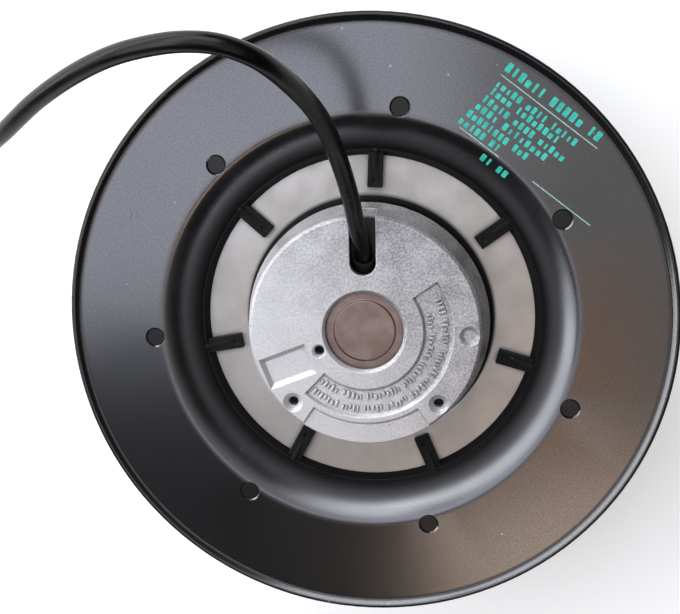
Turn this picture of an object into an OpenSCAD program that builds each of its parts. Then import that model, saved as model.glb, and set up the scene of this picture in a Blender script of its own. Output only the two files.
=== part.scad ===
// Backward-curved centrifugal fan with an external-rotor shaded-pole motor.
// The fan stands on its inlet: the origin is on the axis, in the plane of the inlet rim, and +Z runs
// along the axis to the mounting face. The cable slot of the flange points along +Y. Millimetres.

/* [Impeller] */
// Diameter of the back plate and of the shroud
impeller_d = 175; // [165:1:190]
// Height from the inlet rim to the face of the back plate
impeller_h = 58; // [55:0.5:70]
// Wall of the back plate
plate_t = 2.2; // [1.8:0.1:3]
// Rounding inside the back plate's rim
rim_r = 0.8; // [0.4:0.1:1.6]
// Depth of the rim below the face of the back plate
rim_depth = 5; // [4:0.5:8]
// Height of the brim round the face of the back plate
brim_h = 1.1; // [0.7:0.1:2]
// Rounding of the brim's top
brim_r = 0.8; // [0.4:0.1:0.9]
// Slope of the brim's inner side
brim_angle = 40; // [30:1:60]
// Rounding at the foot of the brim
brim_foot_r = 1.5; // [0.8:0.1:2]
// Wall of the shroud
shroud_t = 2.2; // [1.8:0.1:3]
// Inner diameter of the inlet collar
inlet_d = 112; // [108:1:114]
// Height of the straight inlet collar
collar_h = 5; // [3:0.5:7]
// Radius of the bell between the collar and the cone of the shroud
bell_r = 12; // [9:0.5:14]
// Slope of the shroud's cone
cone_angle = 12; // [6:1:16]

/* [Blades] */
// Number of blades
blade_count = 7; // [5:1:9]
// Thickness of a blade
blade_t = 2.2; // [1.8:0.1:3]
// Radius of the circle that the blade pins stand on
pin_circle_r = 62.6; // [58:0.1:66]
// Distance from the circle of pins in to the leading edge of the blades
blade_lead = 4.6; // [3.5:0.1:6]
// Distance from the rim of the impeller in to the trailing edge of the blades
tip_margin = 1.5; // [0.8:0.1:6]
// Turn of the leading edge ahead of the pin
blade_in_turn = 8; // [5:0.5:10]
// Turn of the trailing edge behind the pin
blade_out_turn = 34; // [28:1:38]
// Diameter of the blade pins
pin_d = 4.9; // [4:0.1:6]
// Depth of a pin's end below the face of the back plate
pin_sink = 0.35; // [0.1:0.05:1]
// Chamfer round the holes for the pins
pin_chamfer = 0.4; // [0.2:0.1:0.6]
// Angle of the first blade pin
pin_phase = 29.1; // [0:0.1:51]

/* [Recess of the back plate] */
// Distance from the circle of pins in to the edge of the recess
pin_margin = 1.8; // [1:0.1:4]
// Depth of the recess, down to the rotor's flange
recess_depth = 10.4; // [9:0.1:13]
// Rounding of the recess's edge
edge_r = 4; // [3.6:0.1:6]
// Slope of the recess's wall at that edge
edge_angle = 25; // [15:1:32]
// Slope of the recess's wall at its foot
wall_angle = 46; // [40:1:52]
// Radius of the wall's bulge between the two slopes
bulge_r = 20; // [14:1:26]
// Width of the recess's wall, down to the step above the lip
wall_w = 10.5; // [9:0.1:11.5]
// Width of the lip on the rotor's flange
lip_w = 2.1; // [1.5:0.1:3]
// Angle from a blade pin to the next tab
tab_lead = 6.3; // [0:0.1:20]
// Width of a tab
tab_w = 4.2; // [3:0.1:6]
// Height of a tab
tab_h = 1.9; // [1:0.1:2.5]
// Radius of the tabs' inner ends
tab_in_r = 39; // [37:0.1:42]

/* [Rotor] */
// Outer diameter of the rotor cup
cup_d = 71; // [70:0.5:74]
// Sheet of the rotor cup
cup_t = 1.5; // [1.2:0.1:1.8]
// Inner radius of the bend at the mouth of the cup
mouth_r = 2; // [0.5:0.1:2.5]
// Inner radius of the bend at the floor of the cup
floor_r = 3; // [2:0.5:4]
// Reach of the rotor cup's flange under the lip of the back plate
lip_grip = 2.8; // [2:0.1:3.5]
// Height of the cup's floor above the inlet rim
cup_lift = 5; // [4:0.5:7]
// Diameter of the shaft
shaft_d = 6; // [5:0.1:6.4]
// Outer diameter of the hub inside the cup
hub_d = 16; // [14:0.5:18]
// Height of the hub above the floor of the cup
hub_h = 8; // [6:0.5:9]
// Number of bars in the rotor cage
bar_count = 19; // [13:2:23]
// Diameter of a bar in the rotor cage
bar_d = 2.8; // [2:0.1:3.2]
// Height of the rings at the ends of the rotor cage
cage_ring_h = 3; // [2:0.5:4]

/* [Stator] */
// Outer diameter of the stator's laminations
stator_d = 52; // [51:0.1:53]
// Air gap between stator and rotor
air_gap = 0.35; // [0.3:0.05:0.5]
// Height of the stacks of laminations
stack_h = 24; // [20:0.5:26]
// Width of a pole's neck
neck_w = 16; // [14:0.5:17]
// Radial thickness of a pole shoe
shoe_t = 3; // [2.5:0.1:3.4]
// Half of the angle that a pole shoe spans
shoe_angle = 70; // [60:1:75]
// Outer diameter of the bearing tube
tube_d = 23; // [22.6:0.1:23.6]
// Wall of the ring of laminations round the bearing tube
yoke_t = 2.5; // [2:0.1:3]
// Wall of the bobbins
bobbin_t = 0.6; // [0.5:0.05:0.8]
// Thickness of the winding beside the stack
coil_w = 6; // [4:0.5:6.5]
// Radial depth of a winding
coil_t = 3.8; // [3:0.1:4]

/* [Bearings] */
// Outer diameter of a ball bearing
bearing_d = 19; // [18.6:0.1:19.2]
// Width of a ball bearing
bearing_w = 6; // [5.6:0.1:7]
// Diameter of a ball
ball_d = 3.5; // [3.2:0.1:3.6]
// Number of balls in a bearing
ball_count = 7; // [6:1:7]
// Thickness of the spacer washer under the lower bearing
washer_t = 1; // [0.5:0.1:2]
// Height of the preload spring under the upper bearing
spring_h = 1.2; // [0.8:0.1:2]

/* [Mounting flange] */
// Height of the mounting face above the back plate
face_rise = 7; // [5:0.5:9]
// Diameter of the mounting face
face_d = 66; // [65:0.2:68]
// Draft of the flange's side, from its foot to the mounting face
side_draft = 2.2; // [1:0.1:3]
// Depth of the flange's foot below the back plate's face
foot_drop = 5; // [3:0.5:7]
// Thickness of the flange's plate
face_t = 8; // [7:0.5:10]
// Chamfer round the mounting face
face_chamfer = 0.8; // [0.4:0.1:1.4]
// Wall of the rim that reaches into the rotor cup
rim_wall = 3; // [2:0.5:4]
// Gap between that rim and the rotor cup
rim_gap = 1.5; // [1:0.1:2]
// Reach of that rim below the rotor's flange
rim_reach = 2; // [1:0.5:3]
// Distance between the two fixing holes
hole_spacing = 41.7; // [38:0.1:44]
// Distance of the fixing holes from the axis, towards the rim
hole_offset = 20.85; // [19:0.05:22]
// Diameter of the holes, drilled for an M4 thread
hole_d = 3.3; // [3:0.1:4]
// Depth of the holes
hole_depth = 5; // [4:0.5:6]
// Diameter of the countersink at the fixing holes
sink_d = 5.6; // [4.5:0.1:6.5]
// Width of the cable slot
slot_w = 7.4; // [6.6:0.1:8]
// Distance of the slot's inner end from the axis
slot_in = 16; // [15.5:0.1:17]
// Depth of the cable slot
slot_depth = 6.5; // [5.5:0.1:6.8]
// Diameter of the seat for the bearing cap
cap_d = 22.2; // [21:0.1:24.4]
// Depth of that seat below the mounting face
cap_depth = 2.8; // [2:0.1:3.5]
// Sheet of the bearing cap
cap_t = 0.8; // [0.5:0.1:1.2]

/* [Cable] */
// Diameter of the cable
cable_d = 4.8; // [4:0.1:5]
// Rise of the cable out of its slot
cable_rise = 40; // [36:1:46]
// Diameter of the grommet
grommet_d = 6.6; // [6:0.1:7]
// Length of the grommet
grommet_l = 5.5; // [4:0.5:7]
// Radius where the coil's turns begin
coil_in_r = 22; // [20:0.5:30]
// Number of turns in the coil
coil_turns = 2.2; // [1.2:0.1:4]
// Diameter of a core
core_d = 1.9; // [1.5:0.1:2.2]
// Bare length of the cores past the sheath
core_l = 34; // [20:1:50]

/* [Fits] */
// Radial gap of pieces that are pressed or moulded together
press_gap = 0.02; // [0.01:0.01:0.03]
// Radial running gap between balls and races
ball_gap = 0.03; // [0.02:0.01:0.05]
// Radial gap of pieces that are dropped or pushed in by hand
slip_gap = 0.1; // [0.05:0.05:0.2]

/* [Hidden] */
$fn = 96;
far = 200;

// Impeller
impeller_r = impeller_d / 2;
inlet_r = inlet_d / 2;
pitch = 360 / blade_count;
blade_bevel = 0.3;
blade_in_r = pin_circle_r - blade_lead;
blade_out_r = impeller_r - tip_margin;
recess_r = pin_circle_r - pin_margin;
step_r = recess_r - wall_w;
lip_r = step_r - lip_w;
flange_r = lip_r + lip_grip;
seat_z = impeller_h - recess_depth;
clamp_t = 1.6;
clamp_r = flange_r + 2.5;
step_w = 0.7;
step_sink = 0.5;
fin_t = 1;
fin_l = 0.55 * (lip_r - tab_in_r);
dimple_d = 1.6;
dimple_depth = 0.5;
dimple_in = 2;

// Rotor
cup_r = cup_d / 2;
bore_r = cup_r - cup_t;
floor_z = cup_lift + cup_t;
shaft_r = shaft_d / 2;
hub_top = floor_z + hub_h;
hub_plate_r = hub_d / 2 + 2;
hub_plate_t = 2.5;
hub_neck_r = hub_d / 2 - 1;
rivet_r = hub_d / 2 + 0.5;
rivet_t = 0.8;
stack_z = (floor_z + seat_z - stack_h) / 2;
stator_r = stator_d / 2;
rotor_in_r = stator_r + air_gap;
bar_cover = 0.5;
bar_circle_r = rotor_in_r + bar_cover + bar_d / 2;
cage_ring_w = bar_d + 1.6;

// Bearings
bearing_r = bearing_d / 2;
ball_r = ball_d / 2;
ball_circle_r = (shaft_r + bearing_r) / 2;
shoulder_drop = 0.65 * ball_r;
race_in_r = ball_circle_r - shoulder_drop;
race_out_r = ball_circle_r + shoulder_drop;
ball_cage_w = 0.7;
ball_cage_h = ball_d + 0.9;
shield_t = 0.35;
shield_gap = 0.3;
lower_z = hub_top + washer_t;
face_z = impeller_h + face_rise;
cap_seat_z = face_z - cap_depth;
cap_room = 2.7;
upper_z = cap_seat_z - cap_room - bearing_w;
tube_r = tube_d / 2;
tube_bore_r = bearing_r - 1.5;
clip_t = 0.7;
clip_depth = 0.4;
clip_w = 1.6;
shaft_top = upper_z + bearing_w + clip_t + 0.8;

// Mounting flange
foot_z = impeller_h - foot_drop;
foot_r = face_d / 2 + side_draft;
under_z = face_z - face_t;
rim_out_r = bore_r - rim_gap;
rim_in_r = rim_out_r - rim_wall;
earth_hole_r = 14.1;
earth_hole_turn = 203.5;
dimple_r = 29.5;
dimple_turn = -2;
pocket_l = 14.4;
pocket_w = 9.2;
pocket_turn = 21;
pocket_at = [-22, -10.3];
pocket_depth = 1.2;
band_in_r = 16.6;
band_out_r = 25.2;
band_from = 226.5;
band_to = 395;
band_depth = 0.8;
pad_in_r = 26.6;
pad_from = 236.3;
pad_to = 304;
pad_depth = 0.6;

// Stator
yoke_r = tube_r + yoke_t;
shoe_in_r = stator_r - shoe_t;
bobbin_in = sqrt(pow(yoke_r, 2) - pow(neck_w / 2, 2)) + 0.15;
coil_in = bobbin_in + bobbin_t + slip_gap;
bobbin_out = coil_in + coil_t + slip_gap + bobbin_t;
neck_gap = 0.1;
coil_hole_x = neck_w / 2 + neck_gap + bobbin_t + slip_gap;
coil_hole_z = stack_h / 2 + neck_gap + bobbin_t + slip_gap;
coil_end = 5.5;
stack_mid = stack_z + stack_h / 2;
coil_top = stack_mid + coil_hole_z + coil_end;
shade_turn = 44;
shade_w = 3.6;
shade_t = 1.3;
shade_rise = 1.1;
protector = [10, 3.4, 3.6];
lead_r = 0.7;

// Cable: the entry is where the cable's axis crosses the bottom of its slot
cable_r = cable_d / 2;
entry_y = slot_in + 3.5;
entry_z = face_z - 5;
grommet_below = 4;
grommet_room = 3;
tie_t = 0.8;
tie_w = 2.5;
coil_turn_step = cable_d + 0.1;
coil_at = [-171, 8];
coil_z = tie_t + slip_gap;
coil_out_r = coil_in_r + coil_turns * coil_turn_step + cable_r;
tail_turn = 185;
tail_l = 26;
core_at = core_d / 2 + 0.05;
core_fan = 7;
core_fall = 2.3;
ferrule_d = 2.6;
ferrule_l = 8;
// Route of the free stretch, from the grommet over the rim of the impeller down on the coil
route = [
    [0, 19.5, 60], [0, 24, 63.8], [-1, 31, 69.5], [-1.5, 38, 75.8], [-2.5, 45.5, 82.5], [-4, 53.5, 90.5],
    [-6, 61, 100], [-9.5, 67.5, 110], [-15.5, 74, 120], [-23, 77.5, 124], [-31, 78.5, 124], [-40, 78, 121],
    [-51, 76, 116], [-63, 72, 109], [-76, 66, 100.5], [-89, 58.5, 90.5], [-101, 52.5, 79.5],
    [-112.5, 47.5, 66], [-123, 43.5, 51], [-132.5, 40, 36.5], [-142, 37, 24.5], [-151.5, 34.8, 16],
    [-161, 32.5, 11], [-170.5, 30.2, 8.8], [-179.5, 28, 8.3]
];

// Points along an arc in a plane, from angle a to angle b, or from one of the points between them
function arc(c, r, a, b, n = 8, first = 0) =
    [for (i = [first:n]) c + r * [cos(a + (b - a) * i / n), sin(a + (b - a) * i / n)]];

// Point of a plane at a radius and a turn
function polar(r, turn) = r * [cos(turn), sin(turn)];

// Centre of the circle through three points of a plane
function circumcentre(p, q, s) =
    let (
        a = q - p,
        b = s - p,
        d = 2 * (a.x * b.y - a.y * b.x)
    )
    p + [b.y * (a * a) - a.y * (b * b), a.x * (b * b) - b.x * (a * a)] / d;

// Outlines of the back plate, as radius and height below its face
brim_centre = [impeller_r - brim_r, brim_h - brim_r];
brim_end = brim_centre + polar(brim_r, 90 + brim_angle);
foot_fillet = min(brim_foot_r, 0.9 * brim_end.y / (1 - cos(brim_angle)));
foot_top = foot_fillet * (1 - cos(brim_angle));
foot_x = brim_end.x - (brim_end.y - foot_top) / tan(brim_angle) - foot_fillet * sin(brim_angle);
edge_centre = [recess_r, -edge_r];
bulge_centre = edge_centre + polar(edge_r - bulge_r, 90 + edge_angle);
// Points of the recess's wall from its edge in to a radius, at a depth under its surface
function wall_line(x, depth = 0) =
    let (
        r = bulge_r - depth,
        end = bulge_centre + polar(r, 90 + wall_angle),
        foot = x < end.x ? end.y - (end.x - x) * tan(wall_angle)
            : bulge_centre.y + sqrt(r * r - pow(x - bulge_centre.x, 2)),
        bulge = arc(bulge_centre, r, 90 + edge_angle, 90 + wall_angle, 6, 1)
    )
    concat(
        arc(edge_centre, edge_r - depth, 90, 90 + edge_angle, 4),
        [for (p = bulge) if (p.x > x + 0.01) p],
        [[x, foot]]
    );
wall_top = wall_line(step_r);
step_z = wall_top[len(wall_top) - 1].y;
clamp_bottom = -recess_depth - cup_t - clamp_t;
plate_top = concat(
    arc(brim_centre, brim_r, 0, 90 + brim_angle, 5),
    arc([foot_x, foot_fillet], foot_fillet, 270 + brim_angle, 270, 4),
    wall_top,
    [
        [step_r, step_z - step_sink], [step_r - step_w, step_z - step_sink],
        [step_r - step_w, step_z], [lip_r, -recess_depth]
    ]
);
// Under side of the back plate, or a line at a gap below it, from the rim to the clamp on the rotor's flange
function plate_under(gap = 0) =
    let (corner = plate_t + rim_r)
    concat(
        [[impeller_r - plate_t - gap, -rim_depth - gap]],
        arc([impeller_r - corner, -corner], rim_r - gap, 0, 90, 4),
        wall_line(clamp_r + gap, plate_t + gap),
        [[clamp_r + gap, clamp_bottom - gap]]
    );

// Outlines of the shroud, as radius and height
bell_centre = [inlet_r + shroud_t + bell_r, collar_h];
cone_from = 90 + cone_angle;
function cone_end(r) =
    let (p = bell_centre + polar(r, cone_from))
    [impeller_r, p.y + (impeller_r - p.x) * tan(cone_angle)];
shroud_top = concat(arc(bell_centre, bell_r + shroud_t, 180, cone_from), [cone_end(bell_r + shroud_t)]);
shroud_under = concat(arc(bell_centre, bell_r, 180, cone_from), [cone_end(bell_r)]);
shroud_mid = concat(arc(bell_centre, bell_r + shroud_t / 2, 180, cone_from), [cone_end(bell_r + shroud_t / 2)]);

// Camber line of a blade: a circle through its leading edge, its pin and its trailing edge
blade_in = polar(blade_in_r, blade_in_turn);
blade_out = polar(blade_out_r, -blade_out_turn);
camber_centre = circumcentre(blade_in, [pin_circle_r, 0], blade_out);
camber_r = norm(blade_in - camber_centre);

// Sweeps a round tube along points, with one ring of corners at each point
function unit(v) = v / norm(v);
function tangent(p, i) = unit(p[min(i + 1, len(p) - 1)] - p[max(i - 1, 0)]);
function side(t) = unit(cross(t, abs(t.z) > 0.9 ? [1, 0, 0] : [0, 0, 1]));
function ring(p, i, r, sides) =
    let (t = tangent(p, i), u = side(t), v = cross(t, u))
    [for (k = [0:sides - 1]) p[i] + r * (cos(360 * k / sides) * u + sin(360 * k / sides) * v)];
module sweep(p, r, sides = 10) {
    points = [for (i = [0:len(p) - 1]) each ring(p, i, r, sides)];
    last = (len(p) - 1) * sides;
    walls = [
        for (i = [0:len(p) - 2], k = [0:sides - 1])
            let (a = i * sides + k, b = i * sides + (k + 1) % sides)
            [a, b, b + sides, a + sides]
    ];
    start = [for (k = [sides - 1:-1:0]) k];
    end = [for (k = [0:sides - 1]) last + k];
    polyhedron(points, concat([start], walls, [end]));
}

// Round bar between two points
module rod(p, q, r) {
    v = q - p;
    translate(p)
        rotate([0, acos(v.z / norm(v)), atan2(v.y, v.x)])
            cylinder(r = r, h = norm(v));
}

// Sector of a flat ring
module sector(r_in, r_out, from, to) {
    steps = ceil((to - from) / 30);
    difference() {
        intersection() {
            circle(r_out);
            polygon(concat(
                [[0, 0]],
                [for (i = [0:steps]) polar(2 * r_out, from + (to - from) * i / steps)]
            ));
        }
        circle(r_in);
    }
}

// Rectangle with round corners, centred
module round_rect(w, h, r) {
    square([w - 2 * r, h], center = true);
    square([w, h - 2 * r], center = true);
    for (x = [-1, 1], y = [-1, 1])
        translate([x * (w / 2 - r), y * (h / 2 - r)])
            circle(r);
}

// Washer or ring with its lower face at z
module washer(r_in, r_out, z, h) {
    translate([0, 0, z])
        linear_extrude(h)
            difference() {
                circle(r_out);
                circle(r_in);
            }
}

// Body of the flange before its holes and recesses
module flange_blank() {
    rotate_extrude()
        polygon([
            [0, lower_z], [tube_r, lower_z], [tube_r, under_z], [rim_in_r, under_z],
            [rim_in_r, seat_z - rim_reach], [rim_out_r, seat_z - rim_reach], [rim_out_r, foot_z],
            [foot_r, foot_z], [face_d / 2, face_z - face_chamfer],
            [face_d / 2 - face_chamfer, face_z], [0, face_z]
        ]);
}

// Bore of the bearing tube, with its two bearing seats and the seat of the cap
module tube_bore() {
    r = bearing_r + press_gap;
    cylinder(r = tube_bore_r, h = far);
    translate([0, 0, lower_z - 1])
        cylinder(r = r, h = bearing_w + 1);
    translate([0, 0, upper_z - spring_h])
        cylinder(r = r, h = far);
    translate([0, 0, cap_seat_z])
        cylinder(r = cap_d / 2 + press_gap, h = far);
    translate([0, 0, face_z - face_chamfer])
        cylinder(r1 = cap_d / 2 + press_gap, r2 = cap_d / 2 + 2 * face_chamfer, h = 2 * face_chamfer);
}

// Slot for the cable, and the slanted hole for the grommet at its inner end
module cable_slot() {
    translate([0, slot_in + slot_w / 2, face_z - slot_depth]) {
        cylinder(d = slot_w, h = far);
        translate([-slot_w / 2, 0, 0])
            cube([slot_w, far, far]);
    }
    along_entry()
        translate([0, 0, -grommet_below - grommet_room])
            cylinder(d = grommet_d + 2 * press_gap, h = grommet_l + grommet_room + 1);
}

// Places children with +Z along the cable where it leaves the flange
module along_entry() {
    translate([0, entry_y, entry_z])
        rotate([cable_rise - 90, 0, 0])
            children();
}

// Blind hole in the mounting face, countersunk where sink is wider than the hole
module face_hole(at, d, depth, sink) {
    translate([at.x, at.y, face_z]) {
        translate([0, 0, -depth])
            cylinder(d = d, h = depth + 1);
        translate([0, 0, -(sink - d) / 2])
            cylinder(d1 = d, d2 = sink + (sink - d), h = sink - d);
    }
}

// Section of a recess whose walls slope by its depth, with the mounting face at height 0
module recess_section(from, to, depth) {
    polygon([[from + depth, -depth], [to - depth, -depth], [to + 1, 1], [from - 1, 1]]);
}

// Recess along part of a ring in the mounting face
module ring_recess(r_in, r_out, from, to, depth) {
    translate([0, 0, face_z])
        rotate(from)
            rotate_extrude(angle = to - from)
                recess_section(r_in, r_out, depth);
}

// Rectangular recess in a face, centred
module face_pocket(l, w, depth) {
    intersection() {
        rotate([90, 0, 0])
            linear_extrude(2 * w, center = true)
                recess_section(-l / 2, l / 2, depth);
        rotate([90, 0, 90])
            linear_extrude(2 * l, center = true)
                recess_section(-w / 2, w / 2, depth);
    }
}

module stator_flange() {
    color("silver")
        difference() {
            flange_blank();
            tube_bore();
            cable_slot();
            for (x = [-1, 1])
                face_hole([x * hole_spacing / 2, -hole_offset], hole_d, hole_depth, sink_d);
            face_hole(polar(earth_hole_r, earth_hole_turn), hole_d, hole_depth, hole_d + 0.6);
            face_hole(polar(dimple_r, dimple_turn), hole_d, 0.6, sink_d);
            translate([pocket_at.x, pocket_at.y, face_z])
                rotate(pocket_turn)
                    face_pocket(pocket_l, pocket_w, pocket_depth);
            ring_recess(band_in_r, band_out_r, band_from, band_to, band_depth);
            ring_recess(pad_in_r, 2 * foot_r, pad_from, pad_to, pad_depth);
        }
}

module bearing_cap() {
    color("rosybrown")
        rotate_extrude()
            polygon([
                [0, cap_seat_z + cap_t / 2], [cap_d / 2 - 3, cap_seat_z + cap_t / 2],
                [cap_d / 2 - 2.6, cap_seat_z], [cap_d / 2, cap_seat_z], [cap_d / 2, cap_seat_z + cap_t],
                [cap_d / 2 - 2.2, cap_seat_z + cap_t], [cap_d / 2 - 2.6, cap_seat_z + 1.5 * cap_t],
                [0, cap_seat_z + 1.5 * cap_t]
            ]);
}

// Places children upright on the stack of laminations, for each of the two poles
module each_pole() {
    for (turn = [0, 180])
        rotate(turn)
            children();
}

module stator_core() {
    color("dimgray")
        translate([0, 0, stack_z])
            linear_extrude(stack_h)
                difference() {
                    union() {
                        circle(yoke_r);
                        each_pole() {
                            translate([-neck_w / 2, 0])
                                square([neck_w, (shoe_in_r + stator_r) / 2]);
                            sector(shoe_in_r, stator_r, 90 - shoe_angle, 90 + shoe_angle);
                        }
                    }
                    circle(tube_r + press_gap);
                    each_pole()
                        sector(
                            stator_r - shade_t - slip_gap, stator_r + 1,
                            90 + shade_turn, 90 + shade_turn + shade_w
                        );
                }
}

module shading_rings() {
    color("peru")
        each_pole()
            translate([0, 0, stack_z - shade_rise - slip_gap])
                difference() {
                    linear_extrude(stack_h + 2 * (shade_rise + slip_gap))
                        sector(
                            stator_r - shade_t, stator_r - slip_gap,
                            90 + shade_turn + 0.3, 90 + shoe_angle + shade_w
                        );
                    translate([0, 0, shade_rise])
                        linear_extrude(stack_h + 2 * slip_gap)
                            sector(
                                shoe_in_r, stator_r + 1,
                                90 + shade_turn + shade_w - 0.3, 90 + shoe_angle + 0.3
                            );
                }
}

// Frame round a pole's neck, between two distances from the axis
module neck_frame(from, to, outer, inner, round) {
    translate([0, to, stack_mid])
        rotate([90, 0, 0])
            linear_extrude(to - from)
                difference() {
                    round_rect(2 * outer.x, 2 * outer.y, round);
                    square([2 * inner.x, 2 * inner.y], center = true);
                }
}

module coil_bobbins() {
    hole = [neck_w / 2 + neck_gap, stack_h / 2 + neck_gap];
    body = hole + [bobbin_t, bobbin_t];
    flange = body + [coil_w + 0.2, coil_end + 0.2];
    color("ivory")
        each_pole() {
            neck_frame(bobbin_in, bobbin_out, body, hole, 0.3);
            neck_frame(bobbin_in, bobbin_in + bobbin_t, flange, hole, 1);
            neck_frame(bobbin_out - bobbin_t, bobbin_out, flange, hole, 1);
        }
}

module pole_coils() {
    hole = [coil_hole_x, coil_hole_z];
    color("chocolate")
        each_pole()
            neck_frame(coil_in, coil_in + coil_t, hole + [coil_w - slip_gap, coil_end], hole, 3);
}

module thermal_protector() {
    color("white")
        translate([-protector.x / 2, coil_in + (coil_t - protector.y) / 2, coil_top])
            cube(protector);
}

module winding_leads() {
    top = [0, entry_y - grommet_below * cos(cable_rise) - 1, entry_z - grommet_below * sin(cable_rise) - 1];
    color("firebrick")
        for (x = [-1, 1]) {
            foot = [x * 3, coil_in + coil_t / 2, coil_top + protector.z + lead_r];
            rod(foot, top + [x, 0, 0], lead_r);
        }
}

module preload_spring() {
    r_in = tube_bore_r + 0.1;
    r_out = bearing_r - 0.1;
    t = 0.35;
    color("steelblue")
        rotate_extrude()
            polygon([
                [r_in, upper_z - t], [r_in + 0.2, upper_z], [r_out, upper_z - spring_h + t],
                [r_out - 0.2, upper_z - spring_h]
            ]);
}

// Ball bearing pieces, with the lower face of the bearing at z
module groove(z) {
    translate([0, 0, z + bearing_w / 2])
        rotate_extrude()
            translate([ball_circle_r, 0])
                circle(ball_r + ball_gap);
}

module inner_race(z) {
    color("lightsteelblue")
        difference() {
            washer(shaft_r + press_gap, race_in_r, z, bearing_w);
            groove(z);
        }
}

module outer_race(z) {
    color("lightsteelblue")
        difference() {
            washer(race_out_r, bearing_r, z, bearing_w);
            groove(z);
        }
}

module shields(z) {
    color("gainsboro")
        for (low = [0.1, bearing_w - 0.1 - shield_t])
            washer(race_in_r + shield_gap, race_out_r - press_gap, z + low, shield_t);
}

module ball_places(z) {
    for (i = [0:ball_count - 1])
        rotate(360 * i / ball_count)
            translate([ball_circle_r, 0, z + bearing_w / 2])
                children();
}

module balls(z) {
    color("white")
        ball_places(z)
            sphere(ball_r);
}

module ball_cage(z) {
    color("khaki")
        difference() {
            washer(
                ball_circle_r - ball_cage_w / 2, ball_circle_r + ball_cage_w / 2,
                z + (bearing_w - ball_cage_h) / 2, ball_cage_h
            );
            ball_places(z)
                sphere(ball_r + ball_gap);
        }
}

module upper_outer_race() { outer_race(upper_z); }
module lower_outer_race() { outer_race(lower_z); }
module upper_inner_race() { inner_race(upper_z); }
module lower_inner_race() { inner_race(lower_z); }
module upper_shields() { shields(upper_z); }
module lower_shields() { shields(lower_z); }
module upper_balls() { balls(upper_z); }
module lower_balls() { balls(lower_z); }
module upper_ball_cage() { ball_cage(upper_z); }
module lower_ball_cage() { ball_cage(lower_z); }

module cable_grommet() {
    color("dimgray")
        along_entry()
            translate([0, 0, -grommet_below])
                difference() {
                    cylinder(d = grommet_d, h = grommet_l);
                    translate([0, 0, -1])
                        cylinder(d = cable_d + 2 * slip_gap, h = grommet_l + 2);
                }
}

module supply_cable() {
    color("black")
        sweep(route, cable_r);
}

// Outer shape of the put-away turns
module cable_coil() {
    color("black")
        translate([coil_at.x, coil_at.y, coil_z])
            rotate_extrude()
                translate([(coil_in_r - cable_r + coil_out_r) / 2, cable_r])
                    round_rect(coil_out_r - coil_in_r + cable_r, cable_d, cable_r - 0.1);
}

// Places children where the sheath leaves the coil, with +Z along the cable
module along_tail() {
    at = coil_at + polar(coil_out_r - cable_r, tail_turn);
    translate([at.x, at.y, coil_z + cable_r])
        rotate(tail_turn)
            rotate([-90, 0, 0])
                children();
}

module cable_tail() {
    color("black")
        along_tail()
            cylinder(r = cable_r, h = tail_l);
}

// Places children at the start of each core, with +Z along the core
module each_core() {
    along_tail()
        for (i = [-1:1])
            translate([i * core_at, core_at * (1.7 * abs(i) - 1.1), tail_l])
                rotate([core_fall * (abs(i) - 2), core_fan * i, 0])
                    children();
}

module core_wires() {
    color("saddlebrown")
        each_core()
            cylinder(d = core_d, h = core_l);
}

module wire_ferrules() {
    color("lightgray")
        each_core()
            translate([0, 0, core_l - ferrule_l / 3])
                difference() {
                    union() {
                        cylinder(d = ferrule_d, h = ferrule_l / 2);
                        cylinder(d = core_d, h = ferrule_l);
                    }
                    translate([0, 0, -1])
                        cylinder(d = core_d + 2 * press_gap, h = ferrule_l / 3 + 1 + press_gap);
                }
}

// Flat tie round the turns of the coil
module cable_tie() {
    w = coil_out_r - coil_in_r + cable_r + 2 * slip_gap;
    h = cable_d + 2 * slip_gap;
    color("black")
        translate([coil_at.x, coil_at.y, coil_z + cable_r])
            rotate(-90)
                translate([(coil_in_r - cable_r + coil_out_r) / 2, tie_w / 2, 0])
                    rotate([90, 0, 0])
                        linear_extrude(tie_w)
                            difference() {
                                round_rect(w + 2 * tie_t, h + 2 * tie_t, 1.5);
                                square([w, h], center = true);
                            }
}

// Places children at the angle of each blade pin, or of each tab
module each_blade(lead = 0) {
    for (i = [0:blade_count - 1])
        rotate(pin_phase + lead + i * pitch)
            children();
}

// Tab of the back plate on the rotor's flange, with a thin fin up the lip
module tab() {
    reach = step_r + 0.5;
    difference() {
        translate([tab_in_r, -tab_w / 2, seat_z])
            cube([reach - tab_in_r, tab_w, tab_h]);
        translate([tab_in_r + dimple_in, 0, seat_z + tab_h - dimple_depth])
            cylinder(d = dimple_d, h = 1);
    }
    translate([0, fin_t / 2, impeller_h])
        rotate([90, 0, 0])
            linear_extrude(fin_t)
                polygon([
                    [lip_r - fin_l, tab_h - recess_depth - 0.1], [reach, tab_h - recess_depth - 0.1],
                    [reach, step_z - 0.1], [step_r - step_w, step_z + 0.3]
                ]);
}

module back_plate() {
    r = flange_r + press_gap;
    under = -recess_depth - cup_t - press_gap;
    below = plate_under();
    color([0.16, 0.16, 0.17])
        difference() {
            union() {
                translate([0, 0, impeller_h])
                    rotate_extrude()
                        polygon(concat(
                            [[impeller_r, -rim_depth]],
                            plate_top,
                            [[r, -recess_depth], [r, under], [lip_r, under], [lip_r, clamp_bottom]],
                            [for (i = [len(below) - 1:-1:0]) below[i]]
                        ));
                each_blade(tab_lead)
                    tab();
            }
            each_blade()
                translate([pin_circle_r, 0, 0])
                    pin_hole();
        }
}

// Hole for a blade pin, chamfered at the face of the back plate
module pin_hole() {
    d = pin_d + 2 * slip_gap;
    cylinder(d = d, h = far);
    translate([0, 0, impeller_h - pin_chamfer])
        cylinder(d1 = d, d2 = d + 4 * pin_chamfer, h = 2 * pin_chamfer);
}

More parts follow.
